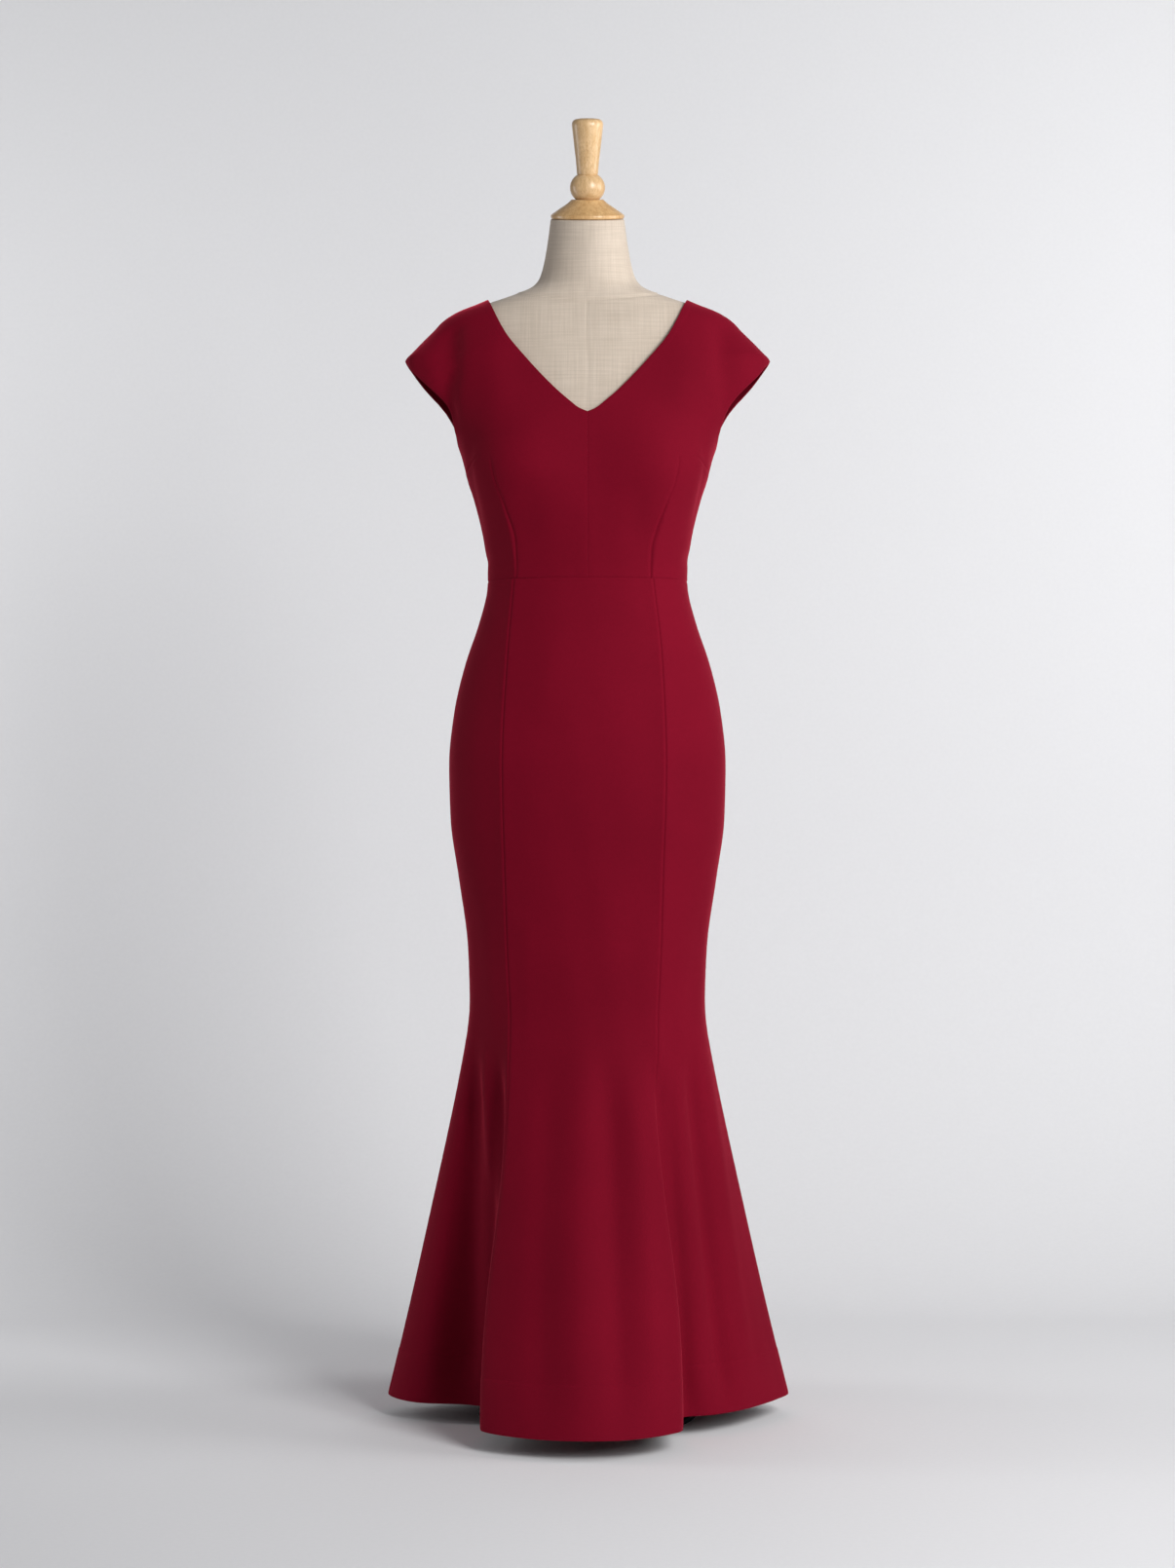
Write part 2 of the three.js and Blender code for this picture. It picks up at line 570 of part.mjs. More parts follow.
// An outline in the seam's own section, from y and z, drawn out evenly along x.
function acrossSeam(shape, width) {
  const options = { depth: width, bevelEnabled: false, curveSegments: ARC_STEPS };
  const geometry = new THREE.ExtrudeGeometry(shape, options);
  return geometry.translate(0, 0, -width / 2).applyMatrix4(
    new THREE.Matrix4().makeBasis(
      new THREE.Vector3(0, 1, 0),
      new THREE.Vector3(0, 0, 1),
      new THREE.Vector3(1, 0, 0),
    ),
  );
}

function archOutline() {
  const foot = -SLIDER.stand - SLIDER.thick / 2; // the arch is rooted in the plate
  const shape = new THREE.Shape();
  shape.moveTo(foot, -SLIDER.arch);
  shape.lineTo(0, -SLIDER.arch);
  shape.absarc(0, 0, SLIDER.arch, -Math.PI / 2, Math.PI / 2, false);
  shape.lineTo(foot, SLIDER.arch);
  shape.lineTo(foot, SLIDER.eye);
  shape.lineTo(0, SLIDER.eye);
  shape.absarc(0, 0, SLIDER.eye, Math.PI / 2, -Math.PI / 2, true);
  shape.lineTo(foot, -SLIDER.eye);
  return shape;
}

function pullOutline() {
  const top = PULL.thick / 2;
  const shape = new THREE.Shape();
  shape.moveTo(PULL.neckHalf, top);
  shape.lineTo(-PULL.neckHalf, top);
  shape.lineTo(-PULL.neckHalf, -PULL.slotFoot - PULL.neckHalf);
  shape.lineTo(-PULL.footHalf, -PULL.length + PULL.footHalf);
  shape.absarc(0, -PULL.length + PULL.footHalf, PULL.footHalf, Math.PI, 2 * Math.PI, false);
  shape.lineTo(PULL.neckHalf, -PULL.slotFoot - PULL.neckHalf);
  const slot = new THREE.Path();
  slot.moveTo(PULL.slotHalf, -top);
  slot.lineTo(PULL.slotHalf, -PULL.slotFoot);
  slot.lineTo(-PULL.slotHalf, -PULL.slotFoot);
  slot.lineTo(-PULL.slotHalf, -top);
  shape.holes.push(slot);
  return shape;
}

const wasm = await Module();
wasm.setup();

function solid(geometry) {
  const bare = geometry.index ? geometry.toNonIndexed() : geometry.clone();
  bare.deleteAttribute("normal");
  bare.deleteAttribute("uv");
  const merged = mergeVertices(bare, 1e-4);
  const vertProperties = new Float32Array(merged.attributes.position.array);
  const triVerts = new Uint32Array(merged.index.array);
  return new wasm.Manifold(new wasm.Mesh({ numProp: 3, vertProperties, triVerts }));
}

function geometryOf(manifold) {
  const mesh = manifold.getMesh();
  const geometry = new THREE.BufferGeometry();
  geometry.setAttribute("position", new THREE.BufferAttribute(new Float32Array(mesh.vertProperties), 3));
  geometry.setIndex(new THREE.BufferAttribute(new Uint32Array(mesh.triVerts), 1));
  geometry.computeVertexNormals();
  return geometry;
}

function sliderGeometry() {
  const { halfWidth, halfHeight, thick, stand, archWidth } = SLIDER;
  const plate = new THREE.BoxGeometry(2 * halfWidth, thick, 2 * halfHeight);
  plate.translate(0, -stand - thick / 2, 0);
  return geometryOf(solid(plate).add(solid(acrossSeam(archOutline(), archWidth))));
}

function pullGeometry() {
  const options = { depth: PULL.thick, bevelEnabled: false, curveSegments: 2 * ARC_STEPS };
  const geometry = new THREE.ExtrudeGeometry(pullOutline(), options);
  return geometry.translate(0, 0, -PULL.thick / 2).rotateX(Math.PI / 2);
}

const zipOut = gownNormal(Math.PI, ZIP_Z);
const zipGroup = new THREE.Group();
const zipStand = SEAM_GAP + SLIDER.thick + SLIDER.stand;
zipGroup.position.copy(gownPoint(Math.PI, ZIP_Z)).addScaledVector(zipOut, zipStand);
zipGroup.rotation.x = Math.atan2(zipOut.z, zipOut.y);
group.add(zipGroup);
add("zip_slider", sliderGeometry(), enamel, zipGroup);
add("zip_pull", pullGeometry(), enamel, zipGroup);

export default group;
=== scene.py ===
"""A dark red mermaid gown on a linen dress form: the finish of every piece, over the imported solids.

Tables and lengths are in millimetres until a mesh is made, and the meshes are in metres. +Z is up, -Y is
the front, and an angle is counted from the centre front, plus towards the wearer's left (+X).
"""
import math

import bpy
import numpy as np
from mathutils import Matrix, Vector


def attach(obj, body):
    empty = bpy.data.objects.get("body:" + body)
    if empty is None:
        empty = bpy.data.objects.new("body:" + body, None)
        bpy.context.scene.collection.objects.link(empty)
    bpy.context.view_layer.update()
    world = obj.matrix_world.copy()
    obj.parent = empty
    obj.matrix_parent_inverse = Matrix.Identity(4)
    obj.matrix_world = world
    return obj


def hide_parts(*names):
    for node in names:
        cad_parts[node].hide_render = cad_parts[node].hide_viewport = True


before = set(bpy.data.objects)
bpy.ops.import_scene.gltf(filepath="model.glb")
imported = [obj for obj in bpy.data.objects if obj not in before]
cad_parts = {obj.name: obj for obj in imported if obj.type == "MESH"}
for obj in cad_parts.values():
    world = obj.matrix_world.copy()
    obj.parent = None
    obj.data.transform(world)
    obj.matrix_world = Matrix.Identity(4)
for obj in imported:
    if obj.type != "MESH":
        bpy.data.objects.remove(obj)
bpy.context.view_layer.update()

MM = 0.001
BODY = "gown"
PULL_BODY = "zip_pull"

# Driving sizes, those of the solids' source, with the armholes' reach fitted again to the photo
HEM_Z = 25
KNEE_Z = 520
FORM_BOTTOM_Z = 768
WAIST_Z = 1068
UNDERARM_Z = 1239
V_TIP_Z = 1275
SLEEVE_TIP_Z = 1351
BACK_NECK_Z = 1362
SHOULDER_Z = 1430
TOP_Z = 1428.6
NECK_TOP_Z = 1533
NECK_HALF_WIDTH = 128
SCOOP_POWER = 0.5
ARMHOLE_REACH = {"front": 54, "back": 48}
FLARE_POWER = 1.13
KNEE_EASE = 36
WALL = 1.6
EASE = 1.5

# The cloth as sewn
CLOTH = 1.0  # thickness away from the hem and the turned edges
TURNED = 0.6  # added by the turnings at the neck and the sleeves
TURNING_WIDTH = 9
HEM_DEPTH = 60
HEM_TURNED = 0.9
HEM = {"proud": 0.45, "step": 1.5, "edge": 0.5, "edge_wide": 1.1}
STITCHES = {"deep": 0.12, "wide": 1.6, "pitch": 1.6}
PUCKER = {"rise": 0.1, "wide": 4}  # the small waves that stitching leaves beside a seam
SEAM_HALF_GAP = 0.02
SEAM_GROOVE = {"wide": 1.45, "waist": 0.8, "centre": 0.15, "side": 0.9, "long": 1.5, "long_at_hem": 0.25}
ALLOWANCE = {"rise": 0.16, "wide": 11, "edge": 2.5}  # the pressed-open turnings behind a seam, a faint band

# Distances between rows and columns of the meshes
BODICE_STEP = {"rows": 3.4, "columns": 3.1}
SKIRT_STEP = {"rows": 5.5, "columns": 4.2}
FORM_SIDES = 200
TURNED_SIDES = 96
CLOSEST_ROWS = 0.15
ANGLE_STEP = 1e-4  # over which a surface's slope is taken
HEIGHT_STEP = 0.05


def table(names, *rows):
    """A dictionary of columns from short rows with named columns."""
    return {name: np.array(column, dtype=float) for name, column in zip(names.split(), zip(*rows))}


# Half the V's width by height
NECKLINE = table(
    "z x",
    (V_TIP_Z, 0), (1280, 11), (1288, 21), (1305, 40), (1345, 77), (1378, 103), (SHOULDER_Z, NECK_HALF_WIDTH),
)
# Sections by height: half the width, the reach to front and back, the middle and the outline's power
GOWN = table(
    "z half front back mid power",
    (520, 150, 104, 113, 3, 2.2),
    (600, 153, 105.5, 116, 3, 2.2),
    (690, 165.5, 111, 122, 3, 2.2),
    (765, 176, 117, 127, 3, 2.2),
    (835, 177.5, 119, 128, 3, 2.2),
    (900, 171, 116, 122, 3, 2.2),
    (965, 156, 108, 110, 3, 2.2),
    (1015, 139, 99, 97, 3, 2.25),
    (1068, 127.5, 93, 88, 3, 2.3),
    (1115, 132, 100, 94, 3, 2.35),
    (1165, 143, 110, 101, 3, 2.4),
    (1208, 155.5, 115.5, 105, 4, 2.5),
    (1239, 164.5, 113, 106, 4, 2.4),
    (1267, 182, 107, 106.5, 5, 2.4),
    (1295, 207, 100.5, 105, 6, 2.4),
    (1323, 228, 94, 101.5, 7, 2.4),
    (1340, 233.5, 89.5, 99, 8, 2.4),
    (1351, 234.5, 86.3, 97, 8.4, 2.4),
    (1362, 225, 83, 94.8, 8.7, 2.4),
    (1392, 197, 71.5, 86.5, 10, 2.4),
    (1402, 188.5, 66.5, 83, 10, 2.4),
    (1412, 173, 61, 79.5, 10, 2.4),
    (1422, 147, 56, 76, 10, 2.4),
    (1432, 123, 52, 72.5, 10, 2.4),
)
# The form above the underarm, with its tilt in degrees
NECK = table(
    "z half front back mid power tilt",
    (1239, 159, 107.5, 100.5, 4, 2.4, 0),
    (1270, 160.5, 101.5, 102.5, 5, 2.4, 0),
    (1300, 164, 95, 101, 6, 2.4, 0),
    (1340, 172, 85, 95.5, 8, 2.4, 0),
    (1370, 178.5, 76, 89, 9, 2.4, 0),
    (1392, 184, 67.5, 82.5, 10, 2.4, 0),
    (1402, 180, 62.5, 79, 10, 2.4, 0),
    (1412, 164.5, 57, 75.5, 10, 2.4, 0),
    (1420, 144, 53.5, 72.5, 10, 2.4, 0),
    (1427, 122, 51, 70, 10, 2.35, 0),
    (1437, 94, 49.5, 66.5, 9, 2.25, 1),
    (1448, 70, 50, 63, 8, 2.1, 3),
    (1461, 60.5, 51.5, 60, 5, 2, 5),
    (1498, 52, 52.5, 50.5, -1, 2, 9),
    (1533, 47.2, 53.2, 41.2, -6, 2, 12),
)
# The hem's radius by degrees round
HEM_FOLDS = table(
    "at radius",
    (-180, 260), (-164, 224), (-149, 243), (-136, 214), (-122, 190), (-107, 228), (-93, 257),
    (-84, 243.5), (-75, 214), (-71, 183), (-67, 165), (-60, 152), (-52, 148), (-44, 173), (-36.5, 212),
    (-29.5, 260), (-20, 273), (-10, 280), (0, 283), (10, 280), (18, 270), (26.4, 254), (33, 213),
    (41, 184), (49, 198), (57, 209), (66, 219), (75, 230), (84, 244), (93, 259),
    (108, 225), (121, 193), (135, 212), (150, 246), (166, 226), (180, 260),
)
# Distance of the princess seams from the middle, by height down to the knee
LONG_SEAMS = table(
    "z right left back",
    (520, 99, 90, 84),
    (690, 103, 93, 90),
    (835, 106, 97, 92),
    (965, 100, 92, 80),
    (1068, 91, 81, 66),
)
HEM_SEAM_DEGREES = {"right": 29.5, "left": 26.4, "back": 149}
PINCH = {"z": 360, "spread": 110, "depth": 4.9}
NECK_SEAM = {"front": 1422.5, "rise": 35, "deep": 1.5, "wide": 1.4}
COVER_SEAM = {"deep": 0.5, "wide": 0.9}
SHIRRING = {"rise": 0.14, "above": 8, "wide": 9}
FORM_FOOT_ROUNDING = 4
BUST = {"x": 93, "z": 1207, "reach": 15, "wide": 36, "tall": 42}
SLEEVE_CREASE = {"x": 178, "z": 1345, "depth": 7.5, "wide": 13, "tall": 38}

# Sewn darts, from end to end, as degrees round and height
DARTS = table(
    "at0 z0 at1 z1 wide rise",
    (-50.0, 1060, -46.4, 1123, 1.3, -1.25),
    (-46.4, 1118, -47.7, 1176, 1.3, -1.25),
    (-47.7, 1171, -49.3, 1216, 1.2, -1.0),
    (44.5, 1060, 42.2, 1113, 1.3, -1.25),
    (42.2, 1108, 45.7, 1180, 1.3, -1.25),
    (45.7, 1175, 46.9, 1222, 1.2, -1.0),
    (-57.0, 1223, -93.0, 1187, 1.4, -1.4),
    (56.0, 1223, 93.0, 1189, 1.4, -1.4),
    (139.1, 1060, 137.0, 1218, 1.3, -0.9),
    (-139.1, 1060, -137.0, 1218, 1.3, -0.9),
)
# Lines along which the cloth turns like the ridge of a low roof: the waist darts and where they run out
ROOFS = table(
    "at0 z0 at1 z1 wide rise",
    (-50.0, 1030, -47.5, 1190, 15, 4.0),
    (44.5, 1030, 45.5, 1190, 15, 3.6),
    (-55.0, 1224, -96.0, 1184, 9, 1.6),
    (54.0, 1224, 96.0, 1186, 9, 1.7),
    (139.1, 1030, 137.5, 1190, 15, 1.8),
    (-139.1, 1030, -137.5, 1190, 15, 1.9),
)
SEAM_ROOF = {"rise": 3.6, "wide": 14, "kept_at_hem": 0.4}  # the same, along the front seams of the skirt
# Soft creases: rise is minus for a trough. They are uneven on purpose, and the hidden sides have their own.
CREASES = table(
    "at0 z0 at1 z1 wide rise",
    (-21.5, 470, -11.3, 20, 13, -3.6),
    (-5.0, 470, -2.6, 20, 15, 3.2),
    (11.5, 470, 8.5, 20, 13, -5.6),
    (26.0, 450, 17.0, 20, 12, 4.6),
    (39.5, 470, 38.5, 20, 8, -9.0),
    (52.0, 470, 46.5, 20, 9, 3.5),
    (63.0, 470, 57.5, 20, 10, -8.5),
    (77.0, 450, 71.0, 60, 10, 2.0),
    (-66.0, 470, -56.0, 285, 8, 4.6),
    (-55.5, 470, -44.5, 285, 8, -6.2),
    (-75.0, 470, -69.0, 30, 12, -11.5),
    (-40.0, 660, -38.0, 470, 10, 1.4),
    (38.5, 650, 36.5, 470, 10, 1.3),
    (-72.0, 700, -68.0, 440, 16, -2.4),
    (70.0, 690, 66.0, 450, 15, -2.0),
    (112.0, 700, 119.0, 400, 17, -2.6),
    (-114.0, 680, -120.0, 390, 16, -2.4),
    (121.0, 430, 128.0, 40, 13, 2.6),
    (-119.0, 440, -127.0, 40, 14, 2.4),
    (162.0, 640, 165.0, 380, 14, -2.0),
    (-160.0, 620, -163.0, 370, 14, -2.0),
    (171.0, 420, 173.0, 40, 13, 2.3),
    (-170.0, 430, -172.0, 40, 12, 2.1),
    (-61.0, 1260, -78.0, 1128, 9, -1.8),
    (60.0, 1262, 76.0, 1140, 8, -1.6),
    (-24.0, 1000, -26.0, 880, 12, 1.0),
    (-33.0, 1190, -38.0, 1100, 11, -1.2),
    (27.0, 1186, 33.0, 1104, 10, -1.1),
    (-70.0, 1098, -104.0, 1088, 6, -1.5),
    (66.0, 1093, 98.0, 1099, 6, -1.4),
    (-118.0, 1102, -158.0, 1094, 7, -2.2),
    (121.0, 1096, 160.0, 1104, 7, -2.1),
    (-126.0, 1128, -150.0, 1119, 6, 1.3),
    (130.0, 1122, 152.0, 1130, 6, 1.2),
    (-150.0, 1046, -172.0, 1030, 8, -1.7),
    (148.0, 1040, 173.0, 1032, 8, -1.6),
    (-98.0, 1222, -130.0, 1150, 10, -2.0),
    (99.0, 1218, 132.0, 1160, 10, -1.8),
    (-75.7, 1392, -67.5, 1340, 9, -6.5),
    (-67.5, 1347, -73.0, 1262, 8, -6.0),
    (74.0, 1396, 66.0, 1342, 8, -2.2),
    (66.0, 1350, 72.0, 1268, 8, -1.8),
    (-58.0, 1396, -48.0, 1262, 13, 3.2),
    (58.0, 1394, 49.0, 1270, 13, 2.0),
    (-81.0, 1372, -79.0, 1306, 6, 2.2),
    (80.0, 1374, 78.0, 1308, 6, 1.4),
    (-108.0, 1310, -126.0, 1240, 9, -2.1),
    (107.0, 1306, 127.0, 1236, 9, -2.0),
    (-128.0, 1372, -140.0, 1300, 12, 1.4),
    (130.0, 1370, 141.0, 1302, 12, 1.5),
)


def slopes(at, value):
    """The slopes of a curve through a table's column that never overshoots between rows."""
    rise = np.diff(value) / np.diff(at)
    slope = np.zeros_like(value)
    slope[0], slope[-1] = rise[0], rise[-1]
    turn = rise[:-1] * rise[1:] > 0
    slope[1:-1][turn] = (2 * rise[:-1] * rise[1:] / np.where(turn, rise[:-1] + rise[1:], 1))[turn]
    return slope


def curve(at, value, where):
    slope = slopes(at, value)
    i = np.clip(np.searchsorted(at, where) - 1, 0, len(at) - 2)
    span = at[i + 1] - at[i]
    u = np.clip((where - at[i]) / span, 0, 1)
    ease = u * u * (3 - 2 * u)
    leave = u * (1 - u) ** 2 * span * slope[i]
    arrive = u * u * (u - 1) * span * slope[i + 1]
    return value[i] + (value[i + 1] - value[i]) * ease + leave + arrive


def blurred(values, sigma, mode="reflect"):
    reach = int(4 * sigma) + 1
    kernel = np.exp(-0.5 * (np.arange(-reach, reach + 1) / sigma) ** 2)
    extra = {"reflect_type": "odd"} if mode == "reflect" else {}
    return np.convolve(np.pad(values, reach, mode, **extra), kernel / kernel.sum(), "valid")


def smoothstep(x, low, high):
    u = np.clip((x - low) / (high - low), 0, 1)
    return u * u * (3 - 2 * u)


def dense(rows, soft, fine, fine_from):
    """Each column of a section table on a 1 mm grid, rounded between rows, and less so from fine_from up."""
    grid = np.arange(rows["z"][0], rows["z"][-1] + 1)
    fine_share = smoothstep(grid, fine_from - 30, fine_from)
    columns = {}
    for name in rows:
        if name != "z":
            plain = curve(rows["z"], rows[name], grid)
            columns[name] = blurred(plain, soft) * (1 - fine_share) + blurred(plain, fine) * fine_share
    return lambda z: {name: np.interp(z, grid, column) for name, column in columns.items()}


gown_at = dense(GOWN, soft=9, fine=2.2, fine_from=1320)
seams_at = dense(LONG_SEAMS, soft=9, fine=9, fine_from=2000)

TORSO = {name: GOWN[name][(GOWN["z"] > 700) & (GOWN["z"] < UNDERARM_Z)] for name in GOWN}
FORM = {name: np.concatenate([TORSO[name], NECK[name]]) for name in GOWN}
for name in ("half", "front", "back"):
    FORM[name][: len(TORSO["z"])] -= WALL + EASE
FORM["tilt"] = np.concatenate([np.zeros(len(TORSO["z"])), NECK["tilt"]])
form_at = dense(FORM, soft=7, fine=2.5, fine_from=1400)

HEM_STEP = 0.25
hem_angles = np.arange(-180, 180 + HEM_STEP, HEM_STEP)
hem_radii = curve(HEM_FOLDS["at"], HEM_FOLDS["radius"], hem_angles)
hem_radii = blurred(hem_radii[:-1], 1.5 / HEM_STEP, "wrap")
hem_radii = np.append(hem_radii, hem_radii[0])


def bell(distance, width):
    return np.exp(-0.5 * (distance / width) ** 2)


def outline(section, angle):
    """The distance from a section's middle to its outline, at an angle from the centre front."""
    reach = np.where(np.cos(angle) > 0, section["front"] + section["mid"], section["back"] - section["mid"])
    across = (np.abs(np.sin(angle)) / section["half"]) ** section["power"]
    along = (np.abs(np.cos(angle)) / reach) ** section["power"]
    return (across + along) ** (-1 / section["power"])


def bust_fullness(angle, radius, z):
    x = np.abs(radius * np.sin(angle))
    facing = smoothstep(np.cos(angle), 0, 0.5)
    return facing * BUST["reach"] * bell(x - BUST["x"], BUST["wide"]) * bell(z - BUST["z"], BUST["tall"])


def sleeve_crease(angle, radius, z):
    x = np.abs(radius * np.sin(angle))
    crease = SLEEVE_CREASE
    return crease["depth"] * bell(x - crease["x"], crease["wide"]) * bell(z - crease["z"], crease["tall"])


def flare(z):
    """How much of the hem's outline a level has: none above the knee, all of it at the hem."""
    below = KNEE_Z - z
    rounded = (below + KNEE_EASE) ** 2 / (4 * KNEE_EASE)
    eased = np.where(np.abs(below) < KNEE_EASE, rounded, np.maximum(below, 0))
    return (eased / (KNEE_Z - HEM_Z)) ** FLARE_POWER


def fold_degrees(angle, z):
    """The place on the hem of the fold through a point: a panel's folds keep their share of its width."""
    turned = (angle + math.pi) % (2 * math.pi) - math.pi
    size = np.abs(turned)
    found = np.zeros_like(size)
    for name, side in (("right", turned < 0), ("left", turned >= 0)):
        seams = [0, long_seam(name, z), math.pi / 2, long_seam("back", z), math.pi]
        hem_seams = [0, HEM_SEAM_DEGREES[name], 90, HEM_SEAM_DEGREES["back"], 180]
        for low, high, hem_low, hem_high in zip(seams, seams[1:], hem_seams, hem_seams[1:]):
            inside = side & (size >= low) & (size <= high)
            found = np.where(inside, hem_low + (hem_high - hem_low) * (size - low) / (high - low), found)
    return np.sign(turned) * found


def gown_surface(angle, z):
    """Points of the gown's outside, before seams and creases."""
    section = gown_at(z)
    radius = outline(section, angle)
    radius = radius + bust_fullness(angle, radius, z) - sleeve_crease(angle, radius, z)
    share = flare(z)
    radius = radius + (np.interp(fold_degrees(angle, z), hem_angles, hem_radii) - radius) * share
    mid = section["mid"] * (1 - np.clip(share, 0, 1))
    return np.stack([radius * np.sin(angle), mid - radius * np.cos(angle), z + 0 * angle], axis=-1)


def form_surface(angle, z):
    section = form_at(z)
    plain = outline(section, angle)
    radius = plain + bust_fullness(angle, plain, z)
    back = -radius * np.cos(angle)
    lift = back * np.tan(np.radians(section["tilt"]))
    return np.stack([radius * np.sin(angle), section["mid"] + back, z + lift], axis=-1)


def normals_of(surface, angle, z):
    around = surface(angle + ANGLE_STEP, z) - surface(angle - ANGLE_STEP, z)
    up = surface(angle, z + HEIGHT_STEP) - surface(angle, z - HEIGHT_STEP)
    normal = np.cross(around, up)
    return normal / np.linalg.norm(normal, axis=-1, keepdims=True)


def roof(distance, width):
    """A ridge with a sharp top, where bell has a round one."""
    return np.exp(-np.abs(distance) / width)


def soft_lines(rows, angle, z, radius, profile=bell):
    """The sum of a table's troughs and ridges, each one a soft line between two places."""
    total = np.zeros_like(radius)
    for at0, z0, at1, z1, wide, rise in zip(*(rows[name] for name in "at0 z0 at1 z1 wide rise".split())):
        reach = math.radians(at1 - at0) * radius
        length = np.hypot(reach, z1 - z0)
        x = (angle - math.radians(at0)) * radius
        along = (x * reach + (z - z0) * (z1 - z0)) / length
        across = ((z - z0) * reach - x * (z1 - z0)) / length
        taper = np.minimum(0.3 * length, 7 * wide)
        ends = smoothstep(along, -0.3 * taper, taper) * smoothstep(length - along, -0.3 * taper, taper)
        total += rise * profile(across, wide) * ends
    return total


def slow_ripple(angle, z):
    """The unevenness of hung cloth, under half a millimetre."""
    hung = smoothstep(z, 980, 700)
    return 0.28 * (1 + hung) * np.sin(7 * angle + z / 83) * np.sin(z / 131 + 2.1 * np.sin(3 * angle) + 0.7)


def angle_across(x, z, behind):
    section = gown_at(z)
    share = np.minimum(x / section["half"], 1)
    reach = section["back"] - section["mid"] if behind else section["front"] + section["mid"]
    depth = reach * (1 - share ** section["power"]) ** (1 / section["power"])
    return math.pi - np.arctan2(x, depth) if behind else np.arctan2(x, depth)


def long_seam(name, z):
    level = np.maximum(z, KNEE_Z)
    fitted = angle_across(seams_at(level)[name], level, name == "back")
    pinch = 0 if name == "back" else math.radians(PINCH["depth"]) * bell(z - PINCH["z"], PINCH["spread"])
    return fitted + (math.radians(HEM_SEAM_DEGREES[name]) - fitted) * flare(z) - pinch


def bodice_side(z, behind):
    """The bodice's outer edge: the side seam, the sleeve's opening, then the shoulder seam."""
    middle = (UNDERARM_Z + SLEEVE_TIP_Z) / 2
    share = (z - middle) / (SLEEVE_TIP_Z - middle)
    depth = ARMHOLE_REACH["back" if behind else "front"] * np.sqrt(np.clip(1 - share * share, 0, None))
    section = gown_at(z)
    reach = section["back"] - section["mid"] if behind else section["front"] + section["mid"]
    across = section["half"] * (1 - (depth / reach) ** section["power"]) ** (1 / section["power"])
    opened = np.arctan2(depth, across)
    return math.pi / 2 + opened if behind else math.pi / 2 - opened


def bodice_middle(z, behind):
    """The bodice's inner edge: the centre seam, then the neckline."""
    scoop = np.clip((z - BACK_NECK_Z) / (SHOULDER_Z - BACK_NECK_Z), 0, None) ** SCOOP_POWER
    front = curve(NECKLINE["z"], NECKLINE["x"], np.clip(z, V_TIP_Z, SHOULDER_Z))
    return angle_across(NECK_HALF_WIDTH * scoop if behind else front, z, behind)


# Edges get close rows and columns, so that a seam's groove is made by several faces
NEAR = (0, 0.45, 0.95, 1.6, 2.5, 4, 6.5, 10)
NEAR_TIP = (0.08, 0.25, 0.6, 1.1, 1.9, 3, 4.6, 6.8)


def levels(low, high, step, closer=(), tips=()):
    """Heights from low to high, closer at both ends, within the bands in closer, and beside the tips."""
    heights = [low + near for near in NEAR] + [high - near for near in NEAR]
    heights += list(np.arange(low + NEAR[-1] + step, high - NEAR[-1], step))
    for start, end, finer in closer:
        heights += list(np.arange(start, end, finer))
    for tip, sides in tips:
        heights += [tip + side * near for near in NEAR_TIP for side in sides] + [tip]
    heights = np.unique(np.round([h for h in heights if low <= h <= high], 3))
    kept = [heights[0]]
    for height in heights[1:]:
        if height - kept[-1] >= CLOSEST_ROWS:
            kept.append(height)
    kept[-1] = heights[-1]
    return np.array(kept)


def between(width, step):
    """Columns from one edge to the next, as shares of the way, closer beside the edges."""
    first = np.array(NEAR) / width
    last = 1 - first[::-1]
    count = max(int((last[0] - first[-1]) * width / step), 2)
    return np.concatenate([first, np.linspace(first[-1], last[0], count + 1)[1:-1], last])


def run_along(place):
    """How far along its row each point of a grid is from the first one."""
    stride = np.linalg.norm(np.diff(place, axis=1), axis=2)
    return np.concatenate([np.zeros((len(place), 1)), np.cumsum(stride, axis=1)], axis=1)


def panel_grid(heights, edges, widths, step):
    """A panel's angles and heights, drawn in at its seams, and how far each point is from the first edge."""
    lines = [edge(heights) for edge in edges]
    angles = []
    for k, width in enumerate(widths):
        shares = between(width, step)
        part = lines[k][:, None] + (lines[k + 1] - lines[k])[:, None] * shares
        angles.append(part if k == 0 else part[:, 1:])
    angle = np.concatenate(angles, axis=1)
    z = np.broadcast_to(heights[:, None], angle.shape).copy()
    run = run_along(gown_surface(angle, z))
    first, last = np.maximum(run[:, 1], 0.01), np.maximum(run[:, -1] - run[:, -2], 0.01)
    angle[:, 0] += SEAM_HALF_GAP / first * (angle[:, 1] - angle[:, 0])
    angle[:, -1] -= SEAM_HALF_GAP / last * (angle[:, -1] - angle[:, -2])
    return angle, z, run


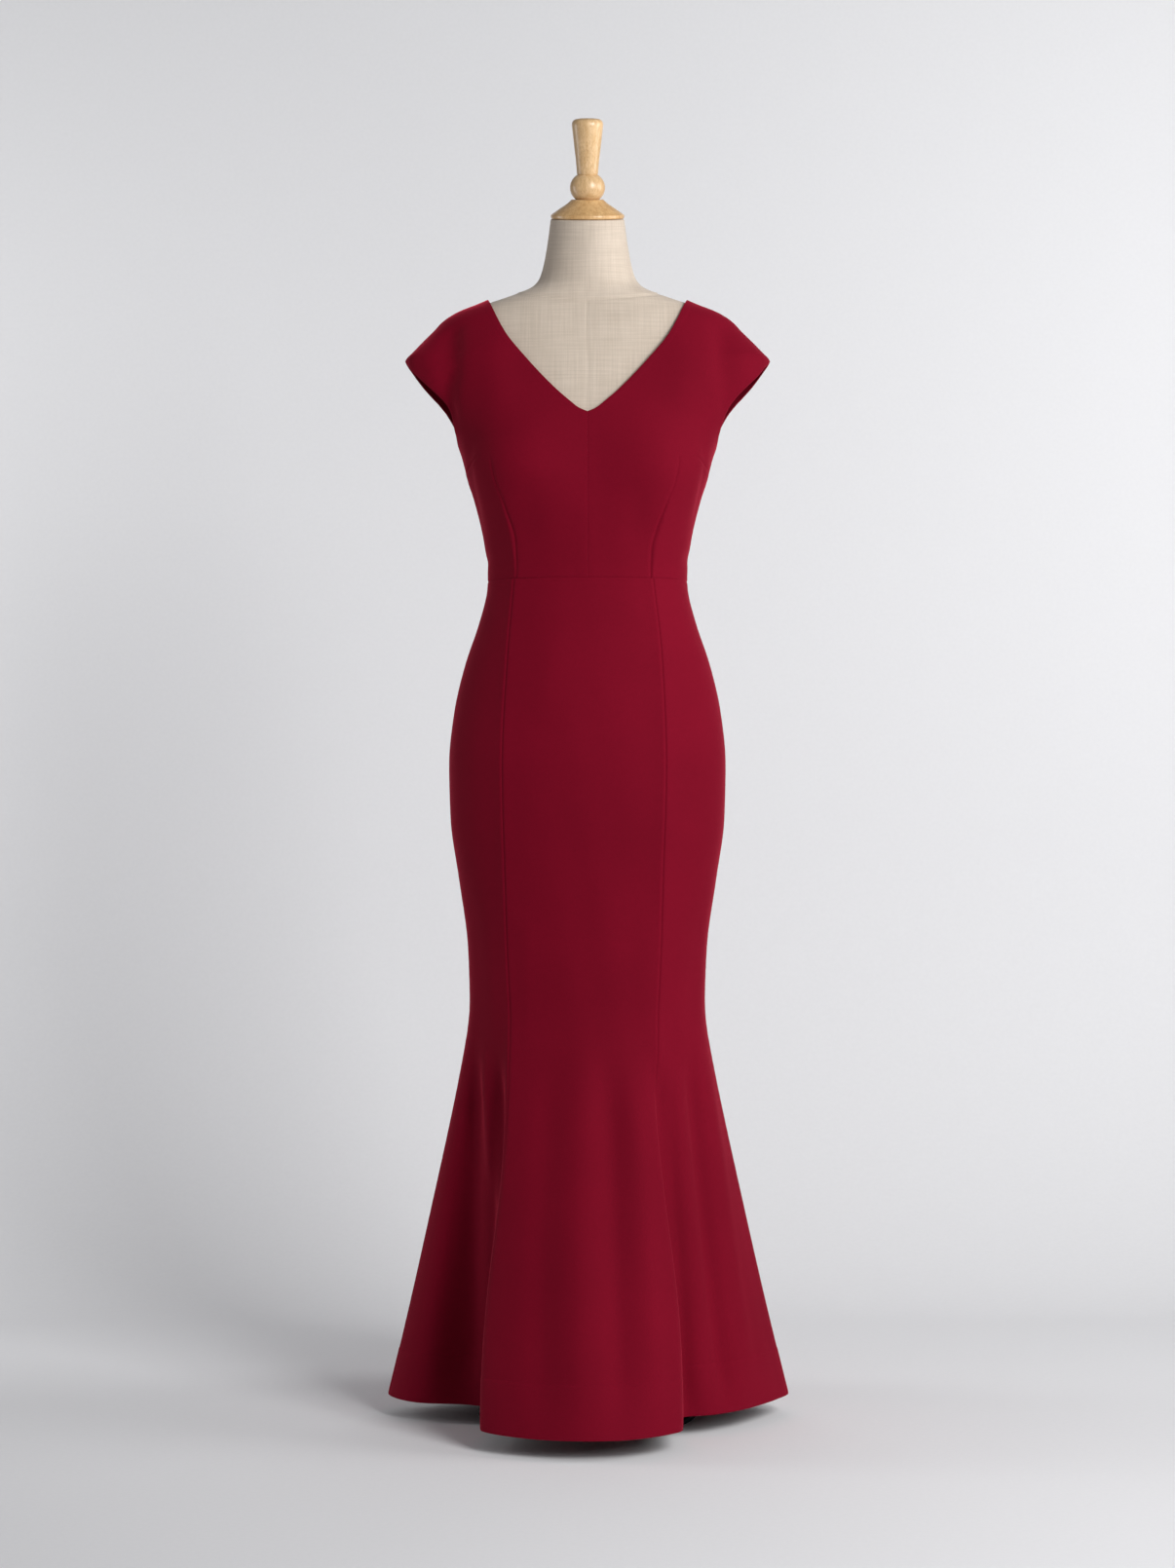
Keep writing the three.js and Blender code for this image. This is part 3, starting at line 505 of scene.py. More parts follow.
def seam_relief(z, from_start, from_end, seams, roofed):
    """Grooves along the seams with the band of their turnings, and roofs along long seams if roofed."""
    relief = np.zeros_like(z)
    low = np.clip(2.5 * flare(z), 0, 1)
    for distance, seam in ((from_start, seams[0]), (from_end, seams[1]), (np.abs(z - WAIST_Z), "waist")):
        depth = SEAM_GROOVE[seam]
        if seam == "long" and roofed:
            kept = 1 + (SEAM_ROOF["kept_at_hem"] - 1) * low
            relief += SEAM_ROOF["rise"] * kept * roof(distance, SEAM_ROOF["wide"])
            depth = depth + (SEAM_GROOVE["long_at_hem"] - depth) * low
        relief -= depth * bell(distance, SEAM_GROOVE["wide"] / math.sqrt(2))
        band = smoothstep(distance, ALLOWANCE["wide"], ALLOWANCE["wide"] - ALLOWANCE["edge"])
        relief += ALLOWANCE["rise"] * band
    waves = np.sin(z / 2.6 + 1.3 * np.sin(z / 9))
    beside = bell(from_start, PUCKER["wide"]) + bell(from_end, PUCKER["wide"])
    return relief + PUCKER["rise"] * waves * beside


def turnings(z, from_start, from_end, free):
    """The thickness that the turned edges of the neck and the sleeves add."""
    added = np.zeros_like(z)
    for distance, span in ((from_start, free[0]), (from_end, free[1])):
        if span:
            inside = smoothstep(z, span[0] - 2, span[0] + 2) * smoothstep(z, span[1] + 2, span[1] - 2)
            added += TURNED * inside * smoothstep(distance, TURNING_WIDTH, TURNING_WIDTH - 2)
    return added


def panel(name, heights, edges, widths, step, free, seams, hem=False):
    """One cut piece of the gown, as a closed shell between its edge lines.

    edges are functions from height to angle, from the wearer's right to left as seen from outside. widths
    are the typical distances between them. free gives, for the first and the last edge, the range of
    heights where that edge is turned and not sewn to another piece, and seams its kind of seam. The cloth
    turns along the long seams of the front.
    """
    angle, z, run = panel_grid(heights, edges, widths, step)
    from_start, from_end = run, run[:, -1:] - run
    place = gown_surface(angle, z)
    normal = normals_of(gown_surface, angle, z)
    radius = np.hypot(place[..., 0], place[..., 1])

    relief = soft_lines(CREASES, angle, z, radius) + slow_ripple(angle, z)
    relief += seam_relief(z, from_start, from_end, seams, "front" in name)
    thick = CLOTH + turnings(z, from_start, from_end, free)
    if hem:
        above = z - HEM_Z
        turned = smoothstep(above, HEM_DEPTH + HEM["step"], HEM_DEPTH - HEM["step"])
        stitches = 0.75 + 0.25 * np.sin(run / STITCHES["pitch"])
        relief += HEM["proud"] * turned - HEM["edge"] * bell(above, HEM["edge_wide"])
        relief -= STITCHES["deep"] * stitches * bell(above - HEM_DEPTH, STITCHES["wide"])
        thick += HEM_TURNED * turned
    else:
        relief += soft_lines(DARTS, angle, z, radius) + soft_lines(ROOFS, angle, z, radius, roof)

    outer = place + normal * relief[..., None]
    inner = outer - normal * thick[..., None]
    return shell(name, outer, inner, run, z)


def shell(name, outer, inner, run, z):
    """A closed mesh between two grids of points, with its cloth laid out in metres as the UV map."""
    rows, cols = outer.shape[:2]
    points = np.concatenate([outer.reshape(-1, 3), inner.reshape(-1, 3)]) * MM
    index = np.arange(rows * cols).reshape(rows, cols)
    back = index + rows * cols
    quads = [
        np.stack([index[:-1, :-1], index[:-1, 1:], index[1:, 1:], index[1:, :-1]], -1).reshape(-1, 4),
        np.stack([back[:-1, :-1], back[1:, :-1], back[1:, 1:], back[:-1, 1:]], -1).reshape(-1, 4),
        np.stack([index[:-1, 0], index[1:, 0], back[1:, 0], back[:-1, 0]], -1),
        np.stack([index[:-1, -1], back[:-1, -1], back[1:, -1], index[1:, -1]], -1),
        np.stack([index[0, :-1], back[0, :-1], back[0, 1:], index[0, 1:]], -1),
        np.stack([index[-1, :-1], index[-1, 1:], back[-1, 1:], back[-1, :-1]], -1),
    ]
    flat = np.stack([run, z], -1).reshape(-1, 2) * MM
    return make_mesh(name, points, np.concatenate(quads).tolist(), np.concatenate([flat, flat]))


def make_mesh(name, points, faces, flat=None, smooth_under=50):
    mesh = bpy.data.meshes.new(name)
    mesh.from_pydata(np.asarray(points).tolist(), [], [tuple(face) for face in faces])
    mesh.update()
    if flat is not None:
        corners = np.empty(len(mesh.loops), dtype=np.int32)
        mesh.loops.foreach_get("vertex_index", corners)
        layer = mesh.uv_layers.new(name="cloth")
        layer.data.foreach_set("uv", np.asarray(flat)[corners].astype(np.float32).ravel())
    mesh.shade_smooth()
    mesh.set_sharp_from_angle(angle=math.radians(smooth_under))
    piece = bpy.data.objects.new(name, mesh)
    bpy.context.scene.collection.objects.link(piece)
    return piece


# Materials
def node(tree, kind, inputs=None, **settings):
    made = tree.nodes.new(kind)
    for name, value in settings.items():
        setattr(made, name, value)
    for name, value in (inputs or {}).items():
        made.inputs[name].default_value = value
    return made


def blank_material(name, **sockets):
    material = bpy.data.materials.new(name)
    material.use_nodes = True
    tree = material.node_tree
    shader = tree.nodes["Principled BSDF"]
    for socket, value in sockets.items():
        shader.inputs[socket.replace("_", " ")].default_value = value
    return material, tree, shader


def noise(tree, vector, scale, detail=2.0, roughness=0.5, stretch=None):
    if stretch:
        mapping = node(tree, "ShaderNodeMapping", {"Scale": stretch})
        tree.links.new(vector, mapping.inputs["Vector"])
        vector = mapping.outputs["Vector"]
    made = node(tree, "ShaderNodeTexNoise", {"Scale": scale, "Detail": detail, "Roughness": roughness})
    tree.links.new(vector, made.inputs["Vector"])
    return made.outputs["Fac"]


def ramp(tree, factor, *stops):
    made = node(tree, "ShaderNodeValToRGB")
    elements = made.color_ramp.elements
    while len(elements) < len(stops):
        elements.new(0.5)
    for element, (position, colour) in zip(elements, stops):
        element.position = position
        element.color = (*colour, 1)
    tree.links.new(factor, made.inputs["Fac"])
    return made.outputs["Color"]


def mixed(tree, factor, first, second, blend="MIX"):
    made = node(tree, "ShaderNodeMix", data_type="RGBA", blend_type=blend)
    for value, socket in ((factor, made.inputs[0]), (first, made.inputs[6]), (second, made.inputs[7])):
        if isinstance(value, bpy.types.NodeSocket):
            tree.links.new(value, socket)
        else:
            socket.default_value = value if isinstance(value, float) else (*value, 1)
    return made.outputs[2]


def maths(tree, operation, *values):
    made = node(tree, "ShaderNodeMath", operation=operation)
    for value, socket in zip(values, made.inputs):
        if isinstance(value, bpy.types.NodeSocket):
            tree.links.new(value, socket)
        else:
            socket.default_value = value
    return made.outputs["Value"]


def bump(tree, height, shader, strength, distance):
    made = node(tree, "ShaderNodeBump", {"Strength": strength, "Distance": distance})
    tree.links.new(height, made.inputs["Height"])
    tree.links.new(made.outputs["Normal"], shader.inputs["Normal"])


def threads(tree, vector, direction, pitch, waver):
    """Ridges a pitch apart in metres, across the given direction of the laid-out cloth."""
    scale = 2 * math.pi / (20 * pitch)
    made = node(tree, "ShaderNodeTexWave", {"Scale": scale, "Distortion": waver, "Detail": 1.0},
                wave_type="BANDS", bands_direction=direction, wave_profile="SIN")
    tree.links.new(vector, made.inputs["Vector"])
    return made.outputs["Fac"]


def crepe_material():
    """Dark red stretch crepe: a fine pebbled weave with a soft bloom of its own colour."""
    material, tree, shader = blank_material(
        "crepe", Roughness=0.8, Specular_IOR_Level=0.03, Sheen_Weight=0.95, Sheen_Roughness=0.34,
        Sheen_Tint=(0.70, 0.055, 0.10, 1),
    )
    cloth = node(tree, "ShaderNodeUVMap", uv_map="cloth").outputs["UV"]
    place = node(tree, "ShaderNodeTexCoord").outputs["Object"]
    pebble = noise(tree, place, 1300, detail=3.0, roughness=0.65)
    warp = threads(tree, cloth, "X", pitch=0.0009, waver=1.2)
    weft = threads(tree, cloth, "Y", pitch=0.0011, waver=1.6)
    weave = maths(tree, "MAXIMUM", warp, weft)
    broad = noise(tree, place, 5.5, detail=2.0)
    colour = ramp(tree, pebble, (0.3, (0.127, 0.0022, 0.0104)), (0.72, (0.201, 0.0037, 0.0168)))
    woven = ramp(tree, weave, (0.2, (0.094, 0.0016, 0.0079)), (0.9, (0.213, 0.0040, 0.0187)))
    colour = mixed(tree, 0.22, colour, woven)
    shade = ramp(tree, broad, (0.3, (0.92, 0.92, 0.92)), (0.7, (1.06, 1.06, 1.06)))
    tree.links.new(mixed(tree, 1.0, colour, shade, "MULTIPLY"), shader.inputs["Base Color"])
    height = maths(tree, "ADD", maths(tree, "MULTIPLY", pebble, 0.8), maths(tree, "MULTIPLY", weave, 0.45))
    bump(tree, height, shader, strength=0.45, distance=0.00022)
    return material


def linen_material():
    """Natural linen: uneven warp and weft, with slubs both ways."""
    material, tree, shader = blank_material(
        "linen", Roughness=0.86, Specular_IOR_Level=0.2, Sheen_Weight=0.12, Sheen_Roughness=0.5,
    )
    cloth = node(tree, "ShaderNodeUVMap", uv_map="cloth").outputs["UV"]
    warp = threads(tree, cloth, "X", pitch=0.0010, waver=1.4)
    weft = threads(tree, cloth, "Y", pitch=0.0011, waver=1.4)
    weave = maths(tree, "MULTIPLY", warp, weft)
    slub_up = noise(tree, cloth, 1.0, detail=3.0, stretch=(620, 14, 1))
    slub_across = noise(tree, cloth, 1.0, detail=3.0, stretch=(16, 560, 1))
    blotch = noise(tree, cloth, 26, detail=3.0)
    base = ramp(tree, weave, (0.0, (0.535, 0.45, 0.37)), (0.5, (0.625, 0.54, 0.455)))
    ups = ramp(tree, slub_up, (0.34, (0.93, 0.925, 0.915)), (0.62, (1.03, 1.03, 1.03)))
    across = ramp(tree, slub_across, (0.36, (0.93, 0.925, 0.915)), (0.64, (1.03, 1.03, 1.03)))
    stain = ramp(tree, blotch, (0.3, (0.97, 0.965, 0.955)), (0.7, (1.02, 1.02, 1.02)))
    colour = mixed(tree, 1.0, base, ups, "MULTIPLY")
    colour = mixed(tree, 1.0, colour, across, "MULTIPLY")
    colour = mixed(tree, 1.0, colour, stain, "MULTIPLY")
    tree.links.new(colour, shader.inputs["Base Color"])
    height = maths(tree, "ADD", weave, maths(tree, "MULTIPLY", maths(tree, "ADD", slub_up, slub_across), 0.9))
    bump(tree, height, shader, strength=0.3, distance=0.0003)
    return material


def wood_material(name, light, dark):
    """Turned pale beech with fine rays along the grain, under a satin varnish."""
    material, tree, shader = blank_material(
        name, Specular_IOR_Level=0.5, Coat_Weight=0.35, Coat_Roughness=0.22,
    )
    place = node(tree, "ShaderNodeTexCoord").outputs["Object"]
    grain = noise(tree, place, 1.0, detail=4.0, roughness=0.6, stretch=(210, 210, 9))
    rays = noise(tree, place, 1.0, detail=2.0, stretch=(900, 900, 95))
    broad = noise(tree, place, 1.0, detail=1.0, stretch=(38, 38, 6))
    colour = ramp(tree, grain, (0.32, dark), (0.66, light))
    fleck = ramp(tree, rays, (0.36, (0.82, 0.78, 0.72)), (0.5, (1, 1, 1)))
    shade = ramp(tree, broad, (0.3, (0.9, 0.88, 0.85)), (0.7, (1.05, 1.05, 1.05)))
    colour = mixed(tree, 1.0, mixed(tree, 1.0, colour, fleck, "MULTIPLY"), shade, "MULTIPLY")
    tree.links.new(colour, shader.inputs["Base Color"])
    rough = ramp(tree, grain, (0.3, (0.46, 0.46, 0.46)), (0.7, (0.34, 0.34, 0.34)))
    tree.links.new(rough, shader.inputs["Roughness"])
    bump(tree, maths(tree, "ADD", grain, rays), shader, strength=0.12, distance=0.0003)
    return material


def enamel_material(name, colour, worn, roughness, gloss):
    """Enamel on metal, with a fine orange-peel surface and rubbed patches."""
    material, tree, shader = blank_material(name, Specular_IOR_Level=0.5 * gloss, Coat_Weight=0.25 * gloss)
    place = node(tree, "ShaderNodeTexCoord").outputs["Object"]
    peel = noise(tree, place, 700, detail=2.0)
    patches = noise(tree, place, 22, detail=5.0, roughness=0.65)
    tree.links.new(ramp(tree, patches, (0.4, colour), (0.75, worn)), shader.inputs["Base Color"])
    low, high = (roughness - 0.06,) * 3, (roughness + 0.08,) * 3
    tree.links.new(ramp(tree, patches, (0.3, low), (0.7, high)), shader.inputs["Roughness"])
    bump(tree, peel, shader, strength=0.15, distance=0.0003)
    return material


def paper_material():
    """The studio's matt paper sweep."""
    material, tree, shader = blank_material("studio_paper", Roughness=0.95, Specular_IOR_Level=0.08)
    place = node(tree, "ShaderNodeTexCoord").outputs["Object"]
    fibre = noise(tree, place, 160, detail=3.0)
    colour = ramp(tree, fibre, (0.3, (0.75, 0.75, 0.762)), (0.7, (0.765, 0.765, 0.777)))
    tree.links.new(colour, shader.inputs["Base Color"])
    bump(tree, fibre, shader, strength=0.03, distance=0.0004)
    return material


crepe = crepe_material()
linen = linen_material()
wood_cap = wood_material("beech_cap", light=(0.71, 0.46, 0.215), dark=(0.56, 0.32, 0.127))
wood_finial = wood_material("beech_finial", light=(0.72, 0.50, 0.275), dark=(0.59, 0.37, 0.17))
stand_enamel = enamel_material(
    "stand_enamel", colour=(0.008, 0.008, 0.009), worn=(0.014, 0.014, 0.015), roughness=0.7, gloss=0.2,
)
zip_enamel = enamel_material(
    "zip_enamel", colour=(0.20, 0.007, 0.02), worn=(0.30, 0.03, 0.04), roughness=0.34, gloss=1.0,
)


def finish_piece(piece, node_name, material, body=BODY):
    piece.data.materials.clear()
    piece.data.materials.append(material)
    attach(piece, body)
    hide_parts(node_name)
    return piece


# The gown's pieces.
# Degrees round of the lines along which the bodice's columns follow the waist darts
FRONT_DARTS = table(
    "z left right",
    (1068, 44.5, 50),
    (1118, 42.2, 46.4),
    (1178, 45.7, 47.7),
    (1219, 46.9, 49.3),
    (1300, 48, 51),
    (1430, 50, 53),
)
BACK_DARTS = table("z left right", (1068, 139.1, 139.1), (1218, 137, 137), (1430, 134, 134))


def dart_line(side, behind):
    """The angle of a dart's line, carried on up between the neckline and the armhole."""
    rows = BACK_DARTS if behind else FRONT_DARTS

    def line(z):
        middle = bodice_middle(z, behind)
        edge = bodice_side(z, behind)
        wanted = np.radians(np.interp(z, rows["z"], rows[side]))
        low, high = np.minimum(middle, edge), np.maximum(middle, edge)
        return np.clip(wanted, low + 0.3 * (high - low), high - 0.3 * (high - low))

    return line


def make_bodice():
    sleeve = (UNDERARM_Z, SLEEVE_TIP_Z)
    for behind, word in ((False, "front"), (True, "back")):
        tip = BACK_NECK_Z if behind else V_TIP_Z
        heights = levels(
            WAIST_Z + SEAM_HALF_GAP, TOP_Z, BODICE_STEP["rows"],
            closer=[(1186, 1227, 1.2), (1240, 1392, 2.4), (1392, TOP_Z, 1.1)],
            tips=[(tip, (1,)), (UNDERARM_Z, (-1, 1)), (SLEEVE_TIP_Z, (-1, 1))],
        )
        for side, sign in (("left", 1), ("right", -1)):
            dart = dart_line(side, behind)
            lines = [
                lambda z, b=behind, s=sign: s * bodice_middle(z, b),
                lambda z, d=dart, s=sign: s * d(z),
                lambda z, b=behind, s=sign: s * bodice_side(z, b),
            ]
            free = [(tip, 2 * TOP_Z), sleeve]  # the neckline is turned all the way up
            widths = [92, 84]
            seams = ["side" if behind else "centre", "side"]
            if (sign < 0) != behind:
                lines, free, widths, seams = lines[::-1], free[::-1], widths[::-1], seams[::-1]
            name = f"bodice_{word}_{side}"
            piece = panel(f"gown_{name}", heights, lines, widths, BODICE_STEP["columns"], free, seams)
            finish_piece(piece, name, crepe)


def make_skirt():
    heights = levels(
        HEM_Z, WAIST_Z - SEAM_HALF_GAP, SKIRT_STEP["rows"],
        closer=[(HEM_Z + HEM_DEPTH - 5, HEM_Z + HEM_DEPTH + 5, 1.1)],
    )
    side = math.pi / 2
    seams = {
        "front_left": lambda z: long_seam("left", z),
        "front_right": lambda z: -long_seam("right", z),
        "back_left": lambda z: long_seam("back", z),
        "back_right": lambda z: -long_seam("back", z),
        "side_left": lambda z: side + 0 * z,
        "side_right": lambda z: -side + 0 * z,
        "centre_left": lambda z: math.pi + 0 * z,
        "centre_right": lambda z: -math.pi + 0 * z,
    }
    cuts = (
        ("skirt_front_centre", "front_right", "front_left", 245),
        ("skirt_front_side_left", "front_left", "side_left", 190),
        ("skirt_back_side_left", "side_left", "back_left", 200),
        ("skirt_back_centre_left", "back_left", "centre_left", 125),
        ("skirt_back_centre_right", "centre_right", "back_right", 125),
        ("skirt_back_side_right", "back_right", "side_right", 200),
        ("skirt_front_side_right", "side_right", "front_right", 190),
    )
    for name, start, end, width in cuts:
        edges = [seams[start], seams[end]]
        kinds = ["side" if word.startswith(("side", "centre")) else "long" for word in (start, end)]
        step = SKIRT_STEP["columns"]
        piece = panel(f"gown_{name}", heights, edges, [width], step, (None, None), kinds, hem=True)
        finish_piece(piece, name, crepe)


def form_relief(angle, place, radius, heights, z):
    """The grooves of the linen cover's seams, and the small gathers over the neck seam."""
    climb = np.linalg.norm(np.gradient(place, heights, axis=0), axis=2)
    above = (z - NECK_SEAM["front"] - NECK_SEAM["rise"] * (1 - np.cos(angle)) / 2) * climb
    gathers = np.sin(21 * angle + 0.4 * np.sin(z / 17))
    relief = SHIRRING["rise"] * gathers * bell(above - SHIRRING["above"], SHIRRING["wide"])
    relief += 0.5 * bell(above - 4.5, 2.2) - NECK_SEAM["deep"] * bell(above, NECK_SEAM["wide"])
    for at in (0, math.pi / 2, -math.pi / 2, math.pi, -math.pi):
        under_neck = smoothstep(above, 3, -3) if at == 0 else 1
        relief -= COVER_SEAM["deep"] * under_neck * bell((angle - at) * radius, COVER_SEAM["wide"])
    return relief


def make_form():
    """The linen torso and neck, with the seams of its cover."""
    foot, top = FORM_BOTTOM_Z, NECK_TOP_Z
    heights = np.unique(np.concatenate([
        [foot, foot + 0.6, foot + 1.6, foot + 3.2, foot + 6],
        np.arange(foot + 12, 1380, 8), np.arange(1380, top - 3, 1.6),
        [top - 3, top - 1.8, top - 0.8, top],
    ]))
    turn = np.linspace(-math.pi, math.pi, FORM_SIDES + 1)
    angle = np.broadcast_to(turn, (len(heights), FORM_SIDES + 1))
    z = np.broadcast_to(heights[:, None], angle.shape)
    place = form_surface(angle, z)
    normal = normals_of(form_surface, angle, np.clip(z, foot + 0.1, top - 0.1))
    radius = np.hypot(place[..., 0], place[..., 1])
    relief = form_relief(angle, place, radius, heights, z)
    below = np.clip((foot + FORM_FOOT_ROUNDING - z) / FORM_FOOT_ROUNDING, 0, 1)
    drawn_in = FORM_FOOT_ROUNDING * (1 - np.sqrt(1 - below ** 2))
    rounded = 1.2 * np.clip((z - top + 2) / 2, 0, 1) ** 2
    place = place + normal * (relief - drawn_in - rounded)[..., None]
    place[0, :, 2] = foot
    run = run_along(place)
    run -= run[:, FORM_SIDES // 2][:, None]
    piece = capped("form_cover", place, run, z)
    finish_piece(piece, "form_body", linen)


def capped(name, place, run, z):
    """A closed body from rings whose last column repeats the first."""
    rows, cols = place.shape[:2]
    index = np.arange(rows * (cols - 1)).reshape(rows, cols - 1)
    after = np.roll(index, -1, axis=1)
    quads = np.stack([index[:-1], after[:-1], after[1:], index[1:]], -1).reshape(-1, 4)
    points = place[:, :-1].reshape(-1, 3) * MM
    faces = [tuple(q) for q in quads.tolist()] + [tuple(index[0, ::-1].tolist()), tuple(index[-1].tolist())]
    return make_mesh(name, points, faces, np.stack([run[:, :-1], z[:, :-1]], -1).reshape(-1, 2) * MM)


def lathe(name, profile, sides=TURNED_SIDES):
    """A turned body from rows of radius and height, on the axis at both ends."""
    profile = np.array(profile, dtype=float)
    turn = np.linspace(0, 2 * math.pi, sides, endpoint=False)
    rings = profile[1:-1]
    points = [(0, 0, profile[0][1])]
    for radius, height in rings:
        points += [(radius * math.cos(a), radius * math.sin(a), height) for a in turn]
    points.append((0, 0, profile[-1][1]))
    faces = []
    last = len(points) - 1
    for i in range(sides):
        j = (i + 1) % sides
        faces.append((0, 1 + j, 1 + i))
        for r in range(len(rings) - 1):
            low, high = 1 + r * sides, 1 + (r + 1) * sides
            faces.append((low + i, low + j, high + j, high + i))
        top = 1 + (len(rings) - 1) * sides
        faces.append((top + i, top + j, last))
    return make_mesh(name, np.array(points) * MM, faces, smooth_under=38)


def rounded_profile(corners, radius=1.0, steps=4):
    """A profile with each corner between its ends replaced by a small arc."""
    corners = [np.array(c, dtype=float) for c in corners]
    rows = [corners[0]]
    for before, corner, after in zip(corners, corners[1:], corners[2:]):
        size = min(radius, 0.45 * np.linalg.norm(before - corner), 0.45 * np.linalg.norm(after - corner))
        start = corner + (before - corner) / max(np.linalg.norm(before - corner), 1e-9) * size
        end = corner + (after - corner) / max(np.linalg.norm(after - corner), 1e-9) * size
        for u in np.linspace(0, 1, steps + 1):
            rows.append(start * (1 - u) ** 2 + corner * 2 * u * (1 - u) + end * u * u)
    rows.append(corners[-1])
    return rows


def spline(rows, count):
    """Evenly many rows along a smooth curve through a few rows of radius and height."""
    rows = np.array(rows, dtype=float)
    key = np.concatenate([[0], np.cumsum(np.linalg.norm(np.diff(rows, axis=0), axis=1))])
    where = np.linspace(0, key[-1], count)
    return np.stack([curve(key, rows[:, 0], where), curve(key, rows[:, 1], where)], axis=1)


def on_neck(piece):
    """Stands a turned piece square on the neck's tilted top."""
    top = form_at(np.array([float(NECK_TOP_Z)]))
    mid, tilt = float(top["mid"][0]), math.radians(float(top["tilt"][0]))
    sine, cosine = math.sin(tilt), math.cos(tilt)
    for vertex in piece.data.vertices:
        x, y, z = vertex.co
        vertex.co = (x, mid * MM + y * cosine - z * sine, NECK_TOP_Z * MM + y * sine + z * cosine)
    piece.data.update()
    return piece


def make_cap_and_finial():
    slope = spline([(43.6, 7.6), (35, 13.6), (26.5, 19.2), (21.3, 23.6)], 14)
    cap = rounded_profile([(0, 0.3), (45.6, 0.3), (47, 1.6), (47, 5.2), *slope, (20.5, 24.5), (0, 24.5)], 0.8)
    finish_piece(on_neck(lathe("turned_cap", cap)), "neck_cap", wood_cap)
    widest, centre, half_height, foot, top = 22.5, 39.5, 20.1, 24.8, 56
    heights = np.linspace(foot, top, 22)
    bead = [(widest * math.sqrt(1 - ((h - centre) / half_height) ** 2), h) for h in heights]
    grip = spline([(13.6, 57.6), (14.2, 66), (16.4, 86), (18.5, 104), (20, 117.5)], 22)
    head = [(19.9, 119.5), (19.2, 122), (17.6, 124), (14.6, 125.4), (9, 126.2), (0, 126.5)]
    finial = [(0, foot), *bead, (13.4, 56.6), *grip, *head]
    finish_piece(on_neck(lathe("turned_finial", finial)), "finial", wood_finial)


def make_stand():
    gap = 0.3  # between two pieces of the stand
    pole_radius, base_height = 14, 15
    bore, foot, top = pole_radius + gap, base_height + gap, FORM_BOTTOM_Z - gap
    flange = {"radius": 52, "hub": 24, "plate": 8, "depth": 40, "cap": 4}
    plate, hub_foot, cap = top - flange["plate"], top - flange["depth"], top - flange["cap"]
    base_rows = [
        (0, 0), (138, 0), (140, 2), (140, 7), (135, 11), (120, 12), (32, base_height), (0, base_height),
    ]
    pole_rows = [(0, foot), (pole_radius, foot), (pole_radius, cap - gap), (0, cap - gap)]
    flange_rows = [
        (0, cap), (bore, cap), (bore, hub_foot), (flange["hub"] - 2, hub_foot), (flange["hub"], hub_foot + 2),
        (flange["hub"], plate), (flange["radius"], plate), (flange["radius"], top), (0, top),
    ]
    for name, node_name, rows, soft in (
        ("round_base", "stand_base", base_rows, 2.0),
        ("pole", "stand_pole", pole_rows, 0.5),
        ("torso_flange", "pole_flange", flange_rows, 0.8),
    ):
        finish_piece(lathe(name, rounded_profile(rows, soft)), node_name, stand_enamel)
    collar = tube("pole_collar", bore, outside=26, foot=foot, top=46, soft=3.0)
    finish_piece(collar, "stand_collar", stand_enamel)


def tube(name, bore, outside, foot, top, soft, sides=TURNED_SIDES):
    """A turned ring: a bore, an outside and two ends, with the upper outside edge rounded."""
    arc = [(outside - soft + soft * math.cos(a), top - soft + soft * math.sin(a))
           for a in np.linspace(0, math.pi / 2, 7)]
    edge = 0.4
    profile = [(bore, foot + edge), (bore + edge, foot), (outside - edge, foot), (outside, foot + edge), *arc,
               (bore + 0.5, top), (bore, top - 0.5)]
    turn = np.linspace(0, 2 * math.pi, sides, endpoint=False)
    points = [(r * math.cos(a), r * math.sin(a), h) for r, h in profile for a in turn]
    faces = []
    for r in range(len(profile)):
        low, high = r * sides, ((r + 1) % len(profile)) * sides
        for i in range(sides):
            j = (i + 1) % sides
            faces.append((low + i, low + j, high + j, high + i))
    return make_mesh(name, np.array(points) * MM, faces, smooth_under=38)


def make_zip():
    """The slider and the pull keep their solids' form, with their edges softened."""
    for node_name, body in (("zip_slider", BODY), ("zip_pull", PULL_BODY)):
        piece = bpy.data.objects.new(f"{node_name}_metal", bpy.data.objects[node_name].data.copy())
        bpy.context.scene.collection.objects.link(piece)
        bevel = piece.modifiers.new("soft_edges", "BEVEL")
        bevel.width = 0.22 * MM
        bevel.segments = 2
        bevel.limit_method = "ANGLE"
        bevel.angle_limit = math.radians(35)
        finish_piece(piece, node_name, zip_enamel, body)


